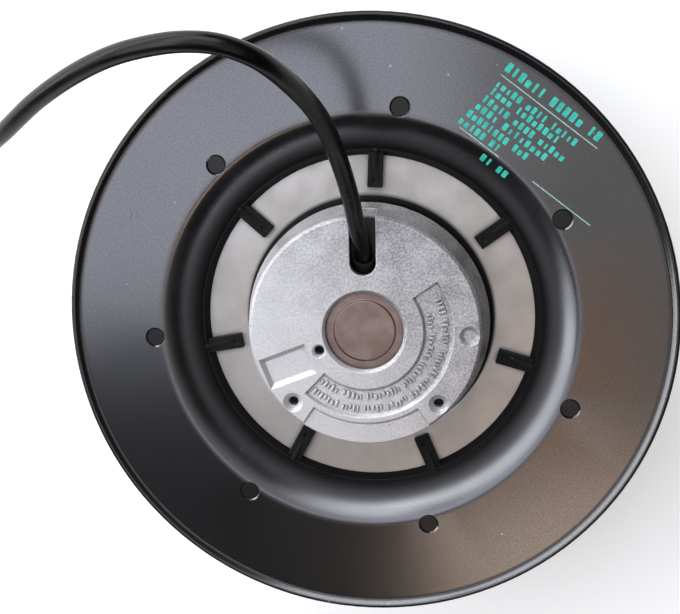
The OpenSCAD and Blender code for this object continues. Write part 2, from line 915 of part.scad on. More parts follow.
// One blade seen along the axis, with its pin on the X axis
module blade_outline() {
    from = atan2(blade_in.y - camber_centre.y, blade_in.x - camber_centre.x);
    to = atan2(blade_out.y - camber_centre.y, blade_out.x - camber_centre.x);
    translate(camber_centre)
        sector(camber_r - blade_t / 2, camber_r + blade_t / 2, min(from, to), max(from, to));
    for (p = [blade_in, blade_out])
        translate(p)
            circle(d = blade_t - blade_bevel);
}

// Space that the blades keep out of: all above the under side of the back plate
module above_blades() {
    translate([0, 0, impeller_h])
        rotate_extrude()
            polygon(concat(
                [[impeller_r + 5, far], [impeller_r + 5, -rim_depth - press_gap]],
                plate_under(press_gap),
                [[0, clamp_bottom - press_gap], [0, far]]
            ));
}

// Space below the middle of the shroud's wall
module below_blades() {
    rotate_extrude()
        polygon(concat(
            [[inlet_r - 5, -1], [inlet_r - 5, collar_h]],
            shroud_mid,
            [[impeller_r + 5, shroud_mid[len(shroud_mid) - 1].y], [impeller_r + 5, -1]]
        ));
}

module bladed_shroud() {
    color([0.12, 0.12, 0.13]) {
        rotate_extrude()
            polygon(concat(
                [[inlet_r + shroud_t, 0], [inlet_r, 0]],
                shroud_top,
                [for (i = [len(shroud_under) - 1:-1:0]) shroud_under[i]]
            ));
        difference() {
            each_blade()
                linear_extrude(impeller_h)
                    blade_outline();
            above_blades();
            below_blades();
        }
        each_blade()
            translate([pin_circle_r, 0, impeller_h - 3 * plate_t])
                cylinder(d = pin_d, h = 3 * plate_t - pin_sink);
    }
}

module rotor_cup() {
    outer_bend = mouth_r + cup_t;
    color("tan")
        rotate_extrude()
            polygon(concat(
                [[hub_neck_r + press_gap, floor_z], [hub_neck_r + press_gap, cup_lift]],
                arc([cup_r - floor_r - cup_t, cup_lift + floor_r + cup_t], floor_r + cup_t, -90, 0),
                arc([cup_r + mouth_r, seat_z - outer_bend], mouth_r, 180, 90),
                [[flange_r, seat_z - cup_t], [flange_r, seat_z]],
                arc([cup_r + mouth_r, seat_z - outer_bend], outer_bend, 90, 180),
                arc([bore_r - floor_r, floor_z + floor_r], floor_r, 0, -90)
            ));
}

module rotor_core() {
    color("slategray")
        translate([0, 0, stack_z])
            linear_extrude(stack_h)
                difference() {
                    circle(bore_r - press_gap);
                    circle(rotor_in_r);
                    for (i = [0:bar_count - 1])
                        rotate(360 * i / bar_count)
                            translate([bar_circle_r, 0])
                                circle(d = bar_d + 2 * press_gap);
                }
}

module rotor_cage() {
    color("lightgray") {
        for (z = [stack_z - cage_ring_h, stack_z + stack_h])
            washer(rotor_in_r + 0.2, rotor_in_r + 0.2 + cage_ring_w, z, cage_ring_h);
        for (i = [0:bar_count - 1])
            rotate(360 * i / bar_count)
                translate([bar_circle_r, 0, stack_z - 1])
                    cylinder(d = bar_d, h = stack_h + 2);
    }
}

module rotor_hub() {
    color("darkgray")
        rotate_extrude()
            polygon([
                [shaft_r + press_gap, cup_lift - rivet_t], [rivet_r, cup_lift - rivet_t],
                [rivet_r, cup_lift], [hub_neck_r, cup_lift], [hub_neck_r, floor_z],
                [hub_plate_r, floor_z], [hub_plate_r, floor_z + hub_plate_t],
                [hub_d / 2, floor_z + hub_plate_t], [hub_d / 2, hub_top], [shaft_r + press_gap, hub_top]
            ]);
}

module shaft() {
    bevel = 0.4;
    low = cup_lift - rivet_t;
    clip_z = upper_z + bearing_w;
    color("whitesmoke")
        rotate_extrude()
            polygon([
                [0, low], [shaft_r - bevel, low], [shaft_r, low + bevel], [shaft_r, clip_z],
                [shaft_r - clip_depth, clip_z], [shaft_r - clip_depth, clip_z + clip_t + slip_gap / 2],
                [shaft_r, clip_z + clip_t + slip_gap / 2], [shaft_r, shaft_top - bevel],
                [shaft_r - bevel, shaft_top], [0, shaft_top]
            ]);
}

module spacer_washer() {
    color("goldenrod")
        washer(shaft_r + press_gap, race_in_r, hub_top, washer_t);
}

module shaft_circlip() {
    r = shaft_r - clip_depth + press_gap;
    color("black")
        difference() {
            washer(r, r + clip_w, upper_z + bearing_w, clip_t);
            translate([0, -r, upper_z])
                cube([r + clip_w + 1, 2 * r, far]);
        }
}

stator_flange();
bearing_cap();
stator_core();
coil_bobbins();
pole_coils();
shading_rings();
thermal_protector();
winding_leads();
preload_spring();
upper_outer_race();
lower_outer_race();
upper_shields();
lower_shields();
cable_grommet();
supply_cable();
cable_coil();
cable_tail();
core_wires();
wire_ferrules();
cable_tie();
back_plate();
bladed_shroud();
rotor_cup();
rotor_core();
rotor_cage();
rotor_hub();
shaft();
spacer_washer();
shaft_circlip();
upper_inner_race();
lower_inner_race();
upper_balls();
upper_ball_cage();
lower_balls();
lower_ball_cage();
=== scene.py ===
"""Looks of a backward-curved centrifugal fan with an external-rotor motor.

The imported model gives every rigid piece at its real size. This script lays the supply cable, adds the relief
and the print that the solids leave out, dresses every piece, and sets up the floor, the light and the camera.
Sizes are in metres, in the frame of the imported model: +Z runs along the fan axis to the mounting face.
"""

from __future__ import annotations

import logging
import math
import random
from dataclasses import dataclass
from enum import Enum
from typing import Any, Callable, Iterable, Mapping, Sequence, Union

import bmesh
import bpy
from mathutils import Matrix, Vector

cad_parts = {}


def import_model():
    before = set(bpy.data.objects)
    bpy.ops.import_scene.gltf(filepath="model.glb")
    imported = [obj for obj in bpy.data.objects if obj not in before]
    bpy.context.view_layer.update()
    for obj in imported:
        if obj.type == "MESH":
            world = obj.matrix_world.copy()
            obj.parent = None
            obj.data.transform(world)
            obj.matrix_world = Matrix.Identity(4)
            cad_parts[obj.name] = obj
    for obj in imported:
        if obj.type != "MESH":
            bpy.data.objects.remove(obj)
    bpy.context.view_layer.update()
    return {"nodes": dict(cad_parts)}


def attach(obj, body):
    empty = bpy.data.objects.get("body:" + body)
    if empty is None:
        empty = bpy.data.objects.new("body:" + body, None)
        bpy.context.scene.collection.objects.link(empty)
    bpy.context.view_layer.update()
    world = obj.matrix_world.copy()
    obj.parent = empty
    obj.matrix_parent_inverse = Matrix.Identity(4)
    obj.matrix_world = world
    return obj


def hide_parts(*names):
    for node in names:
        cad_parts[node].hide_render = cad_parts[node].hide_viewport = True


LOG = logging.getLogger("fan")
MM = 0.001
VALUE = "NodeSocketFloat"
NORMAL = "NodeSocketVector"
GEOMETRY = "NodeSocketGeometry"
SHARP_ANGLE = 28.0
MERGE_GAP = 1e-6
SPECK_LEAST = 0.035
SPECK_SPREAD = 0.12
SPECK_POWER = 3.0
# Scale of the patches along the rubbed and highlighted edges, per metre.
EDGE_PATCH_PER_M = 900.0
# Scale of the noise that makes the painted shade in corners uneven, per metre.
SHADE_NOISE_PER_M = 1200.0

Color = tuple[float, float, float]
Point = tuple[float, float, float]
Loop = Sequence[Vector]
Row = tuple[float, float, float, tuple[int, ...]]
Socket = bpy.types.NodeSocket
Input = Union[Socket, float, tuple]


class Body(Enum):
    """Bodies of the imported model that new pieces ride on."""

    STATOR = "stator"
    IMPELLER = "impeller"


def polar(radius: float, turn: float, height: float = 0.0) -> Vector:
    """Returns the point at a radius and a turn in degrees round the fan axis."""
    angle = math.radians(turn)
    return Vector((radius * math.cos(angle), radius * math.sin(angle), height))


class Tree:
    """Node tree with short calls that add and join nodes."""

    def __init__(self, tree: bpy.types.NodeTree) -> None:
        """Takes the tree of a material, a world or a node group."""
        self.tree = tree

    def node(self, kind: str, inputs: Mapping[Any, Input] | None = None, **settings: Any) -> bpy.types.Node:
        """Adds a node.

        Args:
            kind: Blender's name of the node's type.
            inputs: Sockets to link, or values to set, by the name or the number of the input.
            settings: Values of the node's own settings.

        Returns:
            The new node.
        """
        made = self.tree.nodes.new(kind)
        for name, value in settings.items():
            setattr(made, name, value)
        for key, value in (inputs or {}).items():
            if isinstance(value, bpy.types.NodeSocket):
                self.tree.links.new(value, made.inputs[key])
            else:
                made.inputs[key].default_value = value
        return made

    def math(self, operation: str, *values: Input, clamp: bool = False) -> Socket:
        """Returns the result of a Math node on values or sockets."""
        inputs = dict(enumerate(values))
        return self.node("ShaderNodeMath", inputs, operation=operation, use_clamp=clamp).outputs[0]

    def vector(self, operation: str, *values: Input) -> bpy.types.Node:
        """Returns a Vector Math node on values or sockets."""
        return self.node("ShaderNodeVectorMath", dict(enumerate(values)), operation=operation)

    def ramp(self, value: Input, low: float, high: float, start: float = 0.0, end: float = 1.0) -> Socket:
        """Returns a value that runs smoothly from start at low to end at high."""
        inputs = {"Value": value, "From Min": low, "From Max": high, "To Min": start, "To Max": end}
        return self.node("ShaderNodeMapRange", inputs, interpolation_type="SMOOTHSTEP").outputs[0]

    def blend(self, share: Input, first: Input, second: Input) -> Socket:
        """Returns a colour between two colours, by a share from 0 to 1."""
        return self.node("ShaderNodeMix", {0: share, 6: first, 7: second}, data_type="RGBA").outputs[2]

    def place(self) -> Socket:
        """Returns the point of the surface in the piece's own frame, in metres."""
        return self.node("ShaderNodeTexCoord").outputs["Object"]

    def radius(self) -> Socket:
        """Returns the distance of the surface from the fan axis, in metres."""
        flat = self.vector("MULTIPLY", self.place(), (1.0, 1.0, 0.0)).outputs[0]
        return self.vector("LENGTH", flat).outputs["Value"]

    def height(self) -> Socket:
        """Returns the height of the surface above the floor, in metres."""
        return self.node("ShaderNodeSeparateXYZ", {0: self.place()}).outputs[2]

    def noise(self, scale: Input, detail: float = 2.0, rough: float = 0.5) -> Socket:
        """Returns a noise value over the piece, from 0 to 1, with features per metre."""
        inputs = {"Vector": self.place(), "Scale": scale, "Detail": detail, "Roughness": rough}
        return self.node("ShaderNodeTexNoise", inputs).outputs[0]


def empty_tree(owner: bpy.types.Material | bpy.types.World) -> Tree:
    """Turns on the nodes of a material or a world and clears them.

    Args:
        owner: The material or the world.

    Returns:
        Its empty tree.
    """
    owner.use_nodes = True
    owner.node_tree.nodes.clear()
    return Tree(owner.node_tree)


def placed(name: str, data: bpy.types.ID) -> bpy.types.Object:
    """Makes an object and links it to the scene.

    Args:
        name: The object's name.
        data: Its mesh, curve, light or camera.

    Returns:
        The new object.
    """
    made = bpy.data.objects.new(name, data)
    bpy.context.scene.collection.objects.link(made)
    return made


@dataclass(frozen=True)
class Effect:
    """Shader node group that finishes share, built once."""

    name: str
    inputs: tuple[tuple[str, float], ...]
    outputs: tuple[tuple[str, str], ...]
    fill: Callable[[Tree, Mapping[str, Socket]], Mapping[str, Socket]]

    def group(self) -> bpy.types.NodeTree:
        """Builds the node group at its first use.

        Returns:
            The node group.
        """
        found = bpy.data.node_groups.get(self.name)
        if found is not None:
            return found
        made = bpy.data.node_groups.new(self.name, "ShaderNodeTree")
        for name, value in self.inputs:
            socket = made.interface.new_socket(name, in_out="INPUT", socket_type=VALUE)
            socket.default_value = value
        for name, kind in self.outputs:
            made.interface.new_socket(name, in_out="OUTPUT", socket_type=kind)
        tree = Tree(made)
        source = tree.node("NodeGroupInput").outputs
        results = self.fill(tree, {name: source[name] for name, _ in self.inputs})
        tree.node("NodeGroupOutput", results)
        return made

    def use(self, tree: Tree, **values: Input) -> bpy.types.bpy_prop_collection:
        """Places the group in a material.

        Args:
            tree: The material's tree.
            values: Values or sockets of the group's inputs, by name.

        Returns:
            The outputs of the placed group.
        """
        return tree.node("ShaderNodeGroup", values, node_tree=self.group()).outputs


def fill_grain(tree: Tree, given: Mapping[str, Socket]) -> Mapping[str, Socket]:
    """Fills the group of a fine moulded or cast grain.

    Args:
        tree: The group's tree.
        given: The group's inputs, by name.

    Returns:
        The height and the value of the grain.
    """
    fine = tree.noise(given["Scale"], detail=3.0, rough=0.6)
    cells = tree.node("ShaderNodeTexVoronoi", {"Vector": tree.place(), "Scale": given["Scale"]})
    height = tree.math("MULTIPLY_ADD", cells.outputs["Distance"], given["Pits"], fine)
    return {"Height": height, "Value": tree.ramp(fine, low=0.32, high=0.68)}


def fill_mottle(tree: Tree, given: Mapping[str, Socket]) -> Mapping[str, Socket]:
    """Fills the group of broad soft patches."""
    return {"Value": tree.ramp(tree.noise(given["Scale"], detail=3.0, rough=0.55), low=0.3, high=0.7)}


def fill_specks(tree: Tree, given: Mapping[str, Socket]) -> Mapping[str, Socket]:
    """Fills the group of sparse dust specks.

    Args:
        tree: The group's tree.
        given: The group's inputs, by name.

    Returns:
        The mask of the specks.
    """
    cells = tree.node("ShaderNodeTexVoronoi", {"Vector": tree.place(), "Scale": given["Scale"]})
    lots = tree.node("ShaderNodeSeparateColor", {0: cells.outputs["Color"]}).outputs
    chosen = tree.math("LESS_THAN", lots[0], given["Share"])
    spread = tree.math("POWER", lots[1], SPECK_POWER)
    reach = tree.math("MULTIPLY_ADD", spread, SPECK_SPREAD, SPECK_LEAST)
    inside = tree.math("LESS_THAN", cells.outputs["Distance"], reach)
    return {"Mask": tree.math("MULTIPLY", chosen, inside)}


def fill_wear_and_highlight(tree: Tree, given: Mapping[str, Socket]) -> Mapping[str, Socket]:
    """Fills the group of rounded edges, rubbed and lightened by a painted highlight.

    Args:
        tree: The group's tree.
        given: The group's inputs, by name.

    Returns:
        The mask of the rubbed, highlighted edges and the rounded normal.
    """
    bevel = tree.node("ShaderNodeBevel", {"Radius": given["Radius"]}, samples=6).outputs[0]
    flat = tree.node("ShaderNodeNewGeometry").outputs["Normal"]
    bend = tree.math("SUBTRACT", 1.0, tree.vector("DOT_PRODUCT", bevel, flat).outputs["Value"])
    edge_patches = tree.noise(EDGE_PATCH_PER_M, detail=3.0, rough=0.6)
    patchy = tree.ramp(edge_patches, low=0.3, high=0.65, start=0.35)
    mask = tree.math("MULTIPLY", tree.ramp(bend, low=0.01, high=0.16), patchy, clamp=True)
    return {"Mask": mask, "Normal": bevel}


def fill_painted_shade(tree: Tree, given: Mapping[str, Socket]) -> Mapping[str, Socket]:
    """Fills the group of painted shade that darkens corners and holes, found by ambient occlusion.

    Args:
        tree: The group's tree.
        given: The group's inputs, by name.

    Returns:
        The mask of the painted shade.
    """
    around = tree.node("ShaderNodeAmbientOcclusion", {"Distance": given["Reach"]}, samples=8)
    closed = tree.ramp(around.outputs["AO"], low=0.92, high=0.45)
    shade_noise = tree.noise(SHADE_NOISE_PER_M, detail=3.0, rough=0.6)
    uneven = tree.ramp(shade_noise, low=0.25, high=0.75, start=0.55)
    return {"Mask": tree.math("MULTIPLY", closed, uneven, clamp=True)}


def fill_layers(tree: Tree, given: Mapping[str, Socket]) -> Mapping[str, Socket]:
    """Fills the group of stacked sheets or wound wires, one beside the other along a direction.

    Args:
        tree: The group's tree.
        given: The group's inputs, by name.

    Returns:
        The height of the layers.
    """
    parts = tree.node("ShaderNodeSeparateXYZ", {0: tree.place()}).outputs
    along = tree.math("ADD", tree.math("MULTIPLY", parts[1], given["Along Y"]),
                      tree.math("MULTIPLY", parts[2], given["Along Z"]))
    wave = tree.math("PINGPONG", tree.math("DIVIDE", along, given["Step"]), 0.5)
    return {"Height": tree.ramp(wave, low=0.0, high=0.22)}


MASK = (("Mask", VALUE),)
HEIGHT = (("Height", VALUE),)
GRAIN = Effect("fine_grain", (("Scale", 2000.0), ("Pits", 0.3)), (*HEIGHT, ("Value", VALUE)), fill_grain)
MOTTLE = Effect("soft_mottle", (("Scale", 60.0),), (("Value", VALUE),), fill_mottle)
SPECKS = Effect("dust_specks", (("Scale", 400.0), ("Share", 0.02)), MASK, fill_specks)
# Rubbed edges, lightened partly by real wear and partly as a painted highlight.
WEAR_AND_HIGHLIGHT = Effect("edge_wear", (("Radius", 0.0003),), (*MASK, ("Normal", NORMAL)), fill_wear_and_highlight)
# Painted shade: ambient occlusion darkens corners, creases and holes.
PAINTED_SHADE = Effect("corner_grime", (("Reach", 0.0015),), MASK, fill_painted_shade)
LAYERS = Effect("layers", (("Step", 0.0005), ("Along Y", 0.0), ("Along Z", 1.0)), HEIGHT, fill_layers)


@dataclass(frozen=True)
class Finish:
    """Finish of one material: its colours, gloss, grain, patches, dust, painted shade in corners and holes,
    and rubbed edges with a painted highlight.
    """

    name: str
    color: Color
    shade: Color
    rough: float = 0.4
    rough_swing: float = 0.1
    metallic: float = 0.0
    specular: float = 0.5
    ior: float = 1.5
    coat: float = 0.0
    coat_rough: float = 0.2
    coat_ior: float = 1.5
    grain_size: float = 0.5 * MM
    grain_depth: float = 0.02 * MM
    grain_tone: float = 0.0
    patch_tone: float = 1.0
    pits: float = 0.3
    patch_size: float = 15 * MM
    dust: float = 0.0
    dust_size: float = 2.5 * MM
    dust_color: Color = (0.4, 0.4, 0.42)
    # Rubbed edges: share, radius and colour, which is partly real wear and partly a painted highlight.
    edge: float = 0.0
    edge_r: float = 0.3 * MM
    edge_wear_and_highlight_color: Color = (0.8, 0.8, 0.8)
    # Painted shade in corners and holes: its share, reach, colour and roughness.
    painted_shade: float = 0.0
    painted_shade_reach: float = 1.5 * MM
    painted_shade_color: Color = (0.03, 0.03, 0.03)
    edge_polish: float = 0.1
    painted_shade_rough: float = 0.25
    dust_rough: float = 0.3

    def material(self) -> bpy.types.Material:
        """Builds the finish's material at its first use.

        Returns:
            The material.
        """
        label = self.name + "_finish"
        found = bpy.data.materials.get(label)
        if found is not None:
            return found
        made = bpy.data.materials.new(label)
        self.build(empty_tree(made))
        return made

    def tone(self, tree: Tree, patch: Socket, grain: Socket) -> Socket:
        """Returns the colour before dust, grime and wear.

        Args:
            tree: The material's tree.
            patch: The value of the broad patches.
            grain: The value of the fine grain.

        Returns:
            The colour.
        """
        middle = 0.5 - 0.5 * self.patch_tone
        broad = tree.math("MULTIPLY_ADD", patch, self.patch_tone, middle)
        fine = tree.math("SUBTRACT", grain, 0.5)
        share = tree.math("MULTIPLY_ADD", fine, self.grain_tone, broad, clamp=True)
        return tree.blend(share, (*self.shade, 1.0), (*self.color, 1.0))

    def relief(self, tree: Tree, grain: Socket) -> Socket:
        """Returns the height of the surface's relief, in shares of the grain's depth."""
        return grain

    def gloss(self, tree: Tree, rough: Socket) -> dict[str, Input]:
        """Returns the shader's inputs for the roughness and the coat."""
        return {"Roughness": rough, "Coat Weight": self.coat}

    def build(self, tree: Tree) -> None:
        """Builds the nodes of the material.

        Args:
            tree: The material's tree.
        """
        patch = MOTTLE.use(tree, Scale=1 / self.patch_size)["Value"]
        grain = GRAIN.use(tree, Scale=1 / self.grain_size, Pits=self.pits)
        color = self.tone(tree, patch, grain["Value"])
        rough = tree.math("MULTIPLY_ADD", patch, -self.rough_swing, self.rough + self.rough_swing / 2)
        bump = {"Height": self.relief(tree, grain["Height"]), "Distance": self.grain_depth, "Strength": 1.0}
        # Edges lightened: partly real wear, partly a painted highlight.
        if self.edge:
            wear = WEAR_AND_HIGHLIGHT.use(tree, Radius=self.edge_r)
            share = tree.math("MULTIPLY", wear["Mask"], self.edge)
            color = tree.blend(share, color, (*self.edge_wear_and_highlight_color, 1.0))
            rough = tree.math("MULTIPLY_ADD", share, -self.edge_polish, rough, clamp=True)
            bump["Normal"] = wear["Normal"]
        # Painted shade: darkens corners and holes by ambient occlusion.
        if self.painted_shade:
            mask = PAINTED_SHADE.use(tree, Reach=self.painted_shade_reach)["Mask"]
            share = tree.math("MULTIPLY", mask, self.painted_shade)
            color = tree.blend(share, color, (*self.painted_shade_color, 1.0))
            rough = tree.math("MULTIPLY_ADD", share, self.painted_shade_rough, rough, clamp=True)
        if self.dust:
            mask = SPECKS.use(tree, Scale=1 / self.dust_size, Share=self.dust)["Mask"]
            color = tree.blend(mask, color, (*self.dust_color, 1.0))
            rough = tree.math("MULTIPLY_ADD", mask, self.dust_rough, rough, clamp=True)
        shader = tree.node("ShaderNodeBsdfPrincipled", {
            "Base Color": color,
            "Metallic": self.metallic,
            "Specular IOR Level": self.specular,
            "IOR": self.ior,
            "Coat Roughness": self.coat_rough,
            "Coat IOR": self.coat_ior,
            "Normal": tree.node("ShaderNodeBump", bump).outputs[0],
            **self.gloss(tree, rough),
        })
        tree.node("ShaderNodeOutputMaterial", {"Surface": shader.outputs[0]})


@dataclass(frozen=True)
class SkinnedPlastic(Finish):
    """Moulded plastic with a glossy grained skin on its face, a satin recess wall, and dull tabs and rim."""

    dull_r: float = 50.5 * MM
    wall_r: float = 56.5 * MM
    edge_in_r: float = 59.6 * MM
    face_r: float = 61.8 * MM
    foot_r: float = 83.8 * MM
    brim_r: float = 84.9 * MM
    crest_in_r: float = 85.1 * MM
    crest_r: float = 85.8 * MM
    rim_in_r: float = 86.2 * MM
    rim_r: float = 86.9 * MM
    brim_share: float = 0.42
    crest_gain: float = 1.8
    rim_share: float = 0.2
    brim_grain: float = 0.2
    dull_rough: float = 0.2
    wall_rough: float = 0.28
    wall_color: Color = (0.14, 0.14, 0.147)
    sparkle: float = 0.24

    def wall(self, tree: Tree) -> Socket:
        """Finds the recess wall by the distance from the axis.

        Args:
            tree: The material's tree.

        Returns:
            The share of the wall, from 0 to 1.
        """
        radius = tree.radius()
        inner = tree.ramp(radius, self.dull_r, self.wall_r)
        return tree.math("MULTIPLY", inner, tree.ramp(radius, self.edge_in_r, self.face_r, 1.0, 0.0))

    def tone(self, tree: Tree, patch: Socket, grain: Socket) -> Socket:
        """Returns the colour, with the sheen of the recess wall."""
        return tree.blend(self.wall(tree), super().tone(tree, patch, grain), (*self.wall_color, 1.0))

    def relief(self, tree: Tree, grain: Socket) -> Socket:
        """Fades the grain out on the wall of the recess and on the brim.

        Args:
            tree: The material's tree.
            grain: The height of the fine grain.

        Returns:
            The height of the relief.
        """
        radius = tree.radius()
        face = tree.ramp(radius, self.wall_r, self.face_r, self.brim_grain, 1.0)
        brim = tree.ramp(radius, self.foot_r, self.brim_r, 1.0, self.brim_grain)
        return tree.math("MULTIPLY", grain, tree.math("MULTIPLY", face, brim))

    def gloss(self, tree: Tree, rough: Socket) -> dict[str, Input]:
        """Sets the coat, the sheen and the roughness by the distance from the axis.

        Args:
            tree: The material's tree.
            rough: The roughness before the zones.

        Returns:
            The shader's inputs.
        """
        radius, wall = tree.radius(), self.wall(tree)
        face = tree.ramp(radius, self.edge_in_r, self.face_r, 0.0, self.coat)
        brim = tree.ramp(radius, self.foot_r, self.brim_r, 1.0, self.brim_share)
        crest = tree.ramp(radius, self.crest_in_r, self.crest_r, 1.0, self.crest_gain)
        rim = tree.ramp(radius, self.rim_in_r, self.rim_r, 1.0, self.rim_share)
        dull = tree.ramp(radius, self.dull_r, self.wall_r, self.dull_rough, 0.0)
        satin = tree.math("MULTIPLY_ADD", wall, self.wall_rough - self.rough, dull)
        grain = GRAIN.use(tree, Scale=1 / self.grain_size, Pits=self.pits)["Value"]
        spots = tree.math("MULTIPLY_ADD", grain, self.sparkle, 1 - self.sparkle)
        edge = tree.math("MULTIPLY", tree.math("MULTIPLY", brim, crest), rim)
        skin = tree.math("MULTIPLY", face, edge)
        return {
            "Roughness": tree.math("ADD", rough, satin, clamp=True),
            "Metallic": wall,
            "Coat Weight": tree.math("MULTIPLY", skin, spots, clamp=True),
        }


@dataclass(frozen=True)
class FlangeMetal(Finish):
    """Cast metal of the mounting flange, with a painted light that makes one side paler, and painted shade
    down its holes and its slot.
    """

    open_z: float = 63.5 * MM
    dark_z: float = 62.3 * MM
    open_r: float = 31.2 * MM
    side_r: float = 32.4 * MM
    # Painted light: one side of the face made paler, as if lit from that side.
    painted_light_side: Point = (-0.8, -0.6, 0.0)
    painted_light_reach: float = 28 * MM
    painted_light_share: float = 0.6
    painted_light_color: Color = (0.86, 0.86, 0.87)

    def tone(self, tree: Tree, patch: Socket, grain: Socket) -> Socket:
        """Adds a painted light that makes one side paler, and painted shade by the depth below the mounting
        face.

        Args:
            tree: The material's tree.
            patch: The value of the broad patches.
            grain: The value of the fine grain.

        Returns:
            The colour.
        """
        plain = super().tone(tree, patch, grain)
        # Painted shade down the holes and the slot, below the mounting face.
        inside = tree.ramp(tree.radius(), self.open_r, self.side_r, 1.0, 0.0)
        share = tree.math("MULTIPLY", inside, tree.ramp(tree.height(), self.dark_z, self.open_z, 1.0, 0.0))
        # Painted light: the face grows paler towards one side.
        along = tree.vector("DOT_PRODUCT", tree.place(), self.painted_light_side).outputs["Value"]
        pale = tree.ramp(along, -self.painted_light_reach, self.painted_light_reach, 0.0, self.painted_light_share)
        skin = tree.blend(pale, plain, (*self.painted_light_color, 1.0))
        return tree.blend(share, skin, (*self.painted_shade_color, 1.0))


@dataclass(frozen=True)
class CupSteel(Finish):
    """Plated sheet of the rotor cup, with painted shade in the bend at the cup's mouth, in the gap under the
    flange.
    """

    mouth_in_r: float = 36.2 * MM
    mouth_out_r: float = 36.9 * MM
    mouth_z: float = 43.2 * MM
    ring_z: float = 45 * MM

    def tone(self, tree: Tree, patch: Socket, grain: Socket) -> Socket:
        """Adds the painted shade by the distance from the axis and the height.

        Args:
            tree: The material's tree.
            patch: The value of the broad patches.
            grain: The value of the fine grain.

        Returns:
            The colour.
        """
        plain = super().tone(tree, patch, grain)
        # Painted shade in the gap between the cup's mouth and the flange.
        near = tree.ramp(tree.radius(), self.mouth_in_r, self.mouth_out_r, 1.0, 0.0)
        share = tree.math("MULTIPLY", near, tree.ramp(tree.height(), self.mouth_z, self.ring_z))
        return tree.blend(share, plain, (*self.painted_shade_color, 1.0))


@dataclass(frozen=True)
class LayeredFinish(Finish):
    """Finish of stacked sheets or wound wires, with a groove between neighbours."""

    step: float = 0.5 * MM
    along: tuple[float, float] = (0.0, 1.0)
    groove: float = 2.0

    def relief(self, tree: Tree, grain: Socket) -> Socket:
        """Adds the grooves to the grain.

        Args:
            tree: The material's tree.
            grain: The height of the fine grain.

        Returns:
            The height of the relief.
        """
        along_y, along_z = self.along
        layers = LAYERS.use(tree, Step=self.step, **{"Along Y": along_y, "Along Z": along_z})["Height"]
        return tree.math("MULTIPLY_ADD", layers, self.groove, grain)


@dataclass(frozen=True)
class StripedCore(Finish):
    """Insulation of the earth core, with a stripe of a second colour along it."""

    stripe: Color = (0.6, 0.5, 0.015)
    stripe_turn: Point = (0.0, 0.0, 1.0)
    stripe_from: float = 0.55
    stripe_to: float = 0.6

    def tone(self, tree: Tree, patch: Socket, grain: Socket) -> Socket:
        """Adds the stripe on the sides that face the stripe's turn.

        Args:
            tree: The material's tree.
            patch: The value of the broad patches.
            grain: The value of the fine grain.

        Returns:
            The colour.
        """
        plain = super().tone(tree, patch, grain)
        normal = tree.node("ShaderNodeNewGeometry").outputs["Normal"]
        facing = tree.vector("DOT_PRODUCT", normal, self.stripe_turn).outputs["Value"]
        striped = tree.ramp(tree.math("ABSOLUTE", facing), self.stripe_from, self.stripe_to)
        return tree.blend(striped, plain, (*self.stripe, 1.0))


PLASTIC = SkinnedPlastic(
    "black_moulded_plastic", (0.0075, 0.0075, 0.008), (0.0045, 0.0045, 0.005), rough=0.3, rough_swing=0.06,
    specular=0.15, coat=1.0, coat_rough=0.17, coat_ior=2.2, grain_size=0.45 * MM, grain_depth=0.009 * MM,
    grain_tone=0.5, patch_size=22 * MM, dust=0.06, dust_size=2.6 * MM, dust_color=(0.2, 0.2, 0.215),
    edge=0.25, edge_r=0.25 * MM, edge_wear_and_highlight_color=(0.12, 0.12, 0.125),
)
BLADE_PLASTIC = Finish(
    "black_blade_plastic", (0.011, 0.011, 0.0115), (0.007, 0.007, 0.0075), rough=0.34, rough_swing=0.08,
    specular=0.3, grain_size=0.45 * MM, grain_depth=0.015 * MM, patch_size=18 * MM, dust=0.02,
    dust_size=2.6 * MM, dust_color=(0.16, 0.16, 0.17), edge=0.35, edge_r=0.3 * MM,
    edge_wear_and_highlight_color=(0.12, 0.12, 0.125),
)
# Its near-white edge colour is mostly a painted highlight along the chamfers.
ALUMINIUM = FlangeMetal(
    "cast_aluminium", (0.56, 0.556, 0.572), (0.26, 0.256, 0.266), rough=0.44, rough_swing=0.12, metallic=0.5,
    grain_size=0.62 * MM, grain_depth=0.05 * MM, grain_tone=0.85, patch_tone=0.4, pits=0.5, patch_size=7 * MM,
    dust=0.04, dust_size=1.7 * MM, dust_color=(0.16, 0.16, 0.16), edge=0.9, edge_r=0.35 * MM,
    edge_wear_and_highlight_color=(0.97, 0.97, 0.97), painted_shade=0.8, painted_shade_reach=1.6 * MM, painted_shade_color=(0.03, 0.029, 0.028),
)
CAP_STEEL = Finish(
    "satin_cap_steel", (0.3, 0.235, 0.21), (0.22, 0.165, 0.145), rough=0.36, rough_swing=0.1, metallic=1.0,
    grain_size=0.3 * MM, grain_depth=0.01 * MM, grain_tone=0.4, patch_size=6 * MM, edge=0.5,
    edge_wear_and_highlight_color=(0.6, 0.54, 0.5), painted_shade=0.5, painted_shade_reach=2 * MM,
)
ZINCED = CupSteel(
    "zinced_steel", (0.47, 0.45, 0.422), (0.4, 0.38, 0.35), rough=0.34, rough_swing=0.08, metallic=0.6,
    grain_size=0.4 * MM, grain_depth=0.012 * MM, grain_tone=0.35, patch_size=9 * MM, dust=0.03,
    dust_size=2 * MM, dust_color=(0.2, 0.19, 0.17), edge=0.4, edge_wear_and_highlight_color=(0.6, 0.6, 0.59), painted_shade=0.6,
    painted_shade_reach=2 * MM,
)
SHEATH = Finish(
    "cable_sheath", (0.0035, 0.0034, 0.0034), (0.0025, 0.0024, 0.0024), rough=0.27, rough_swing=0.08,
    specular=0.25, grain_size=0.7 * MM, grain_depth=0.02 * MM, patch_size=9 * MM, dust=0.1,
    dust_size=1.5 * MM, dust_color=(0.14, 0.14, 0.14),
)
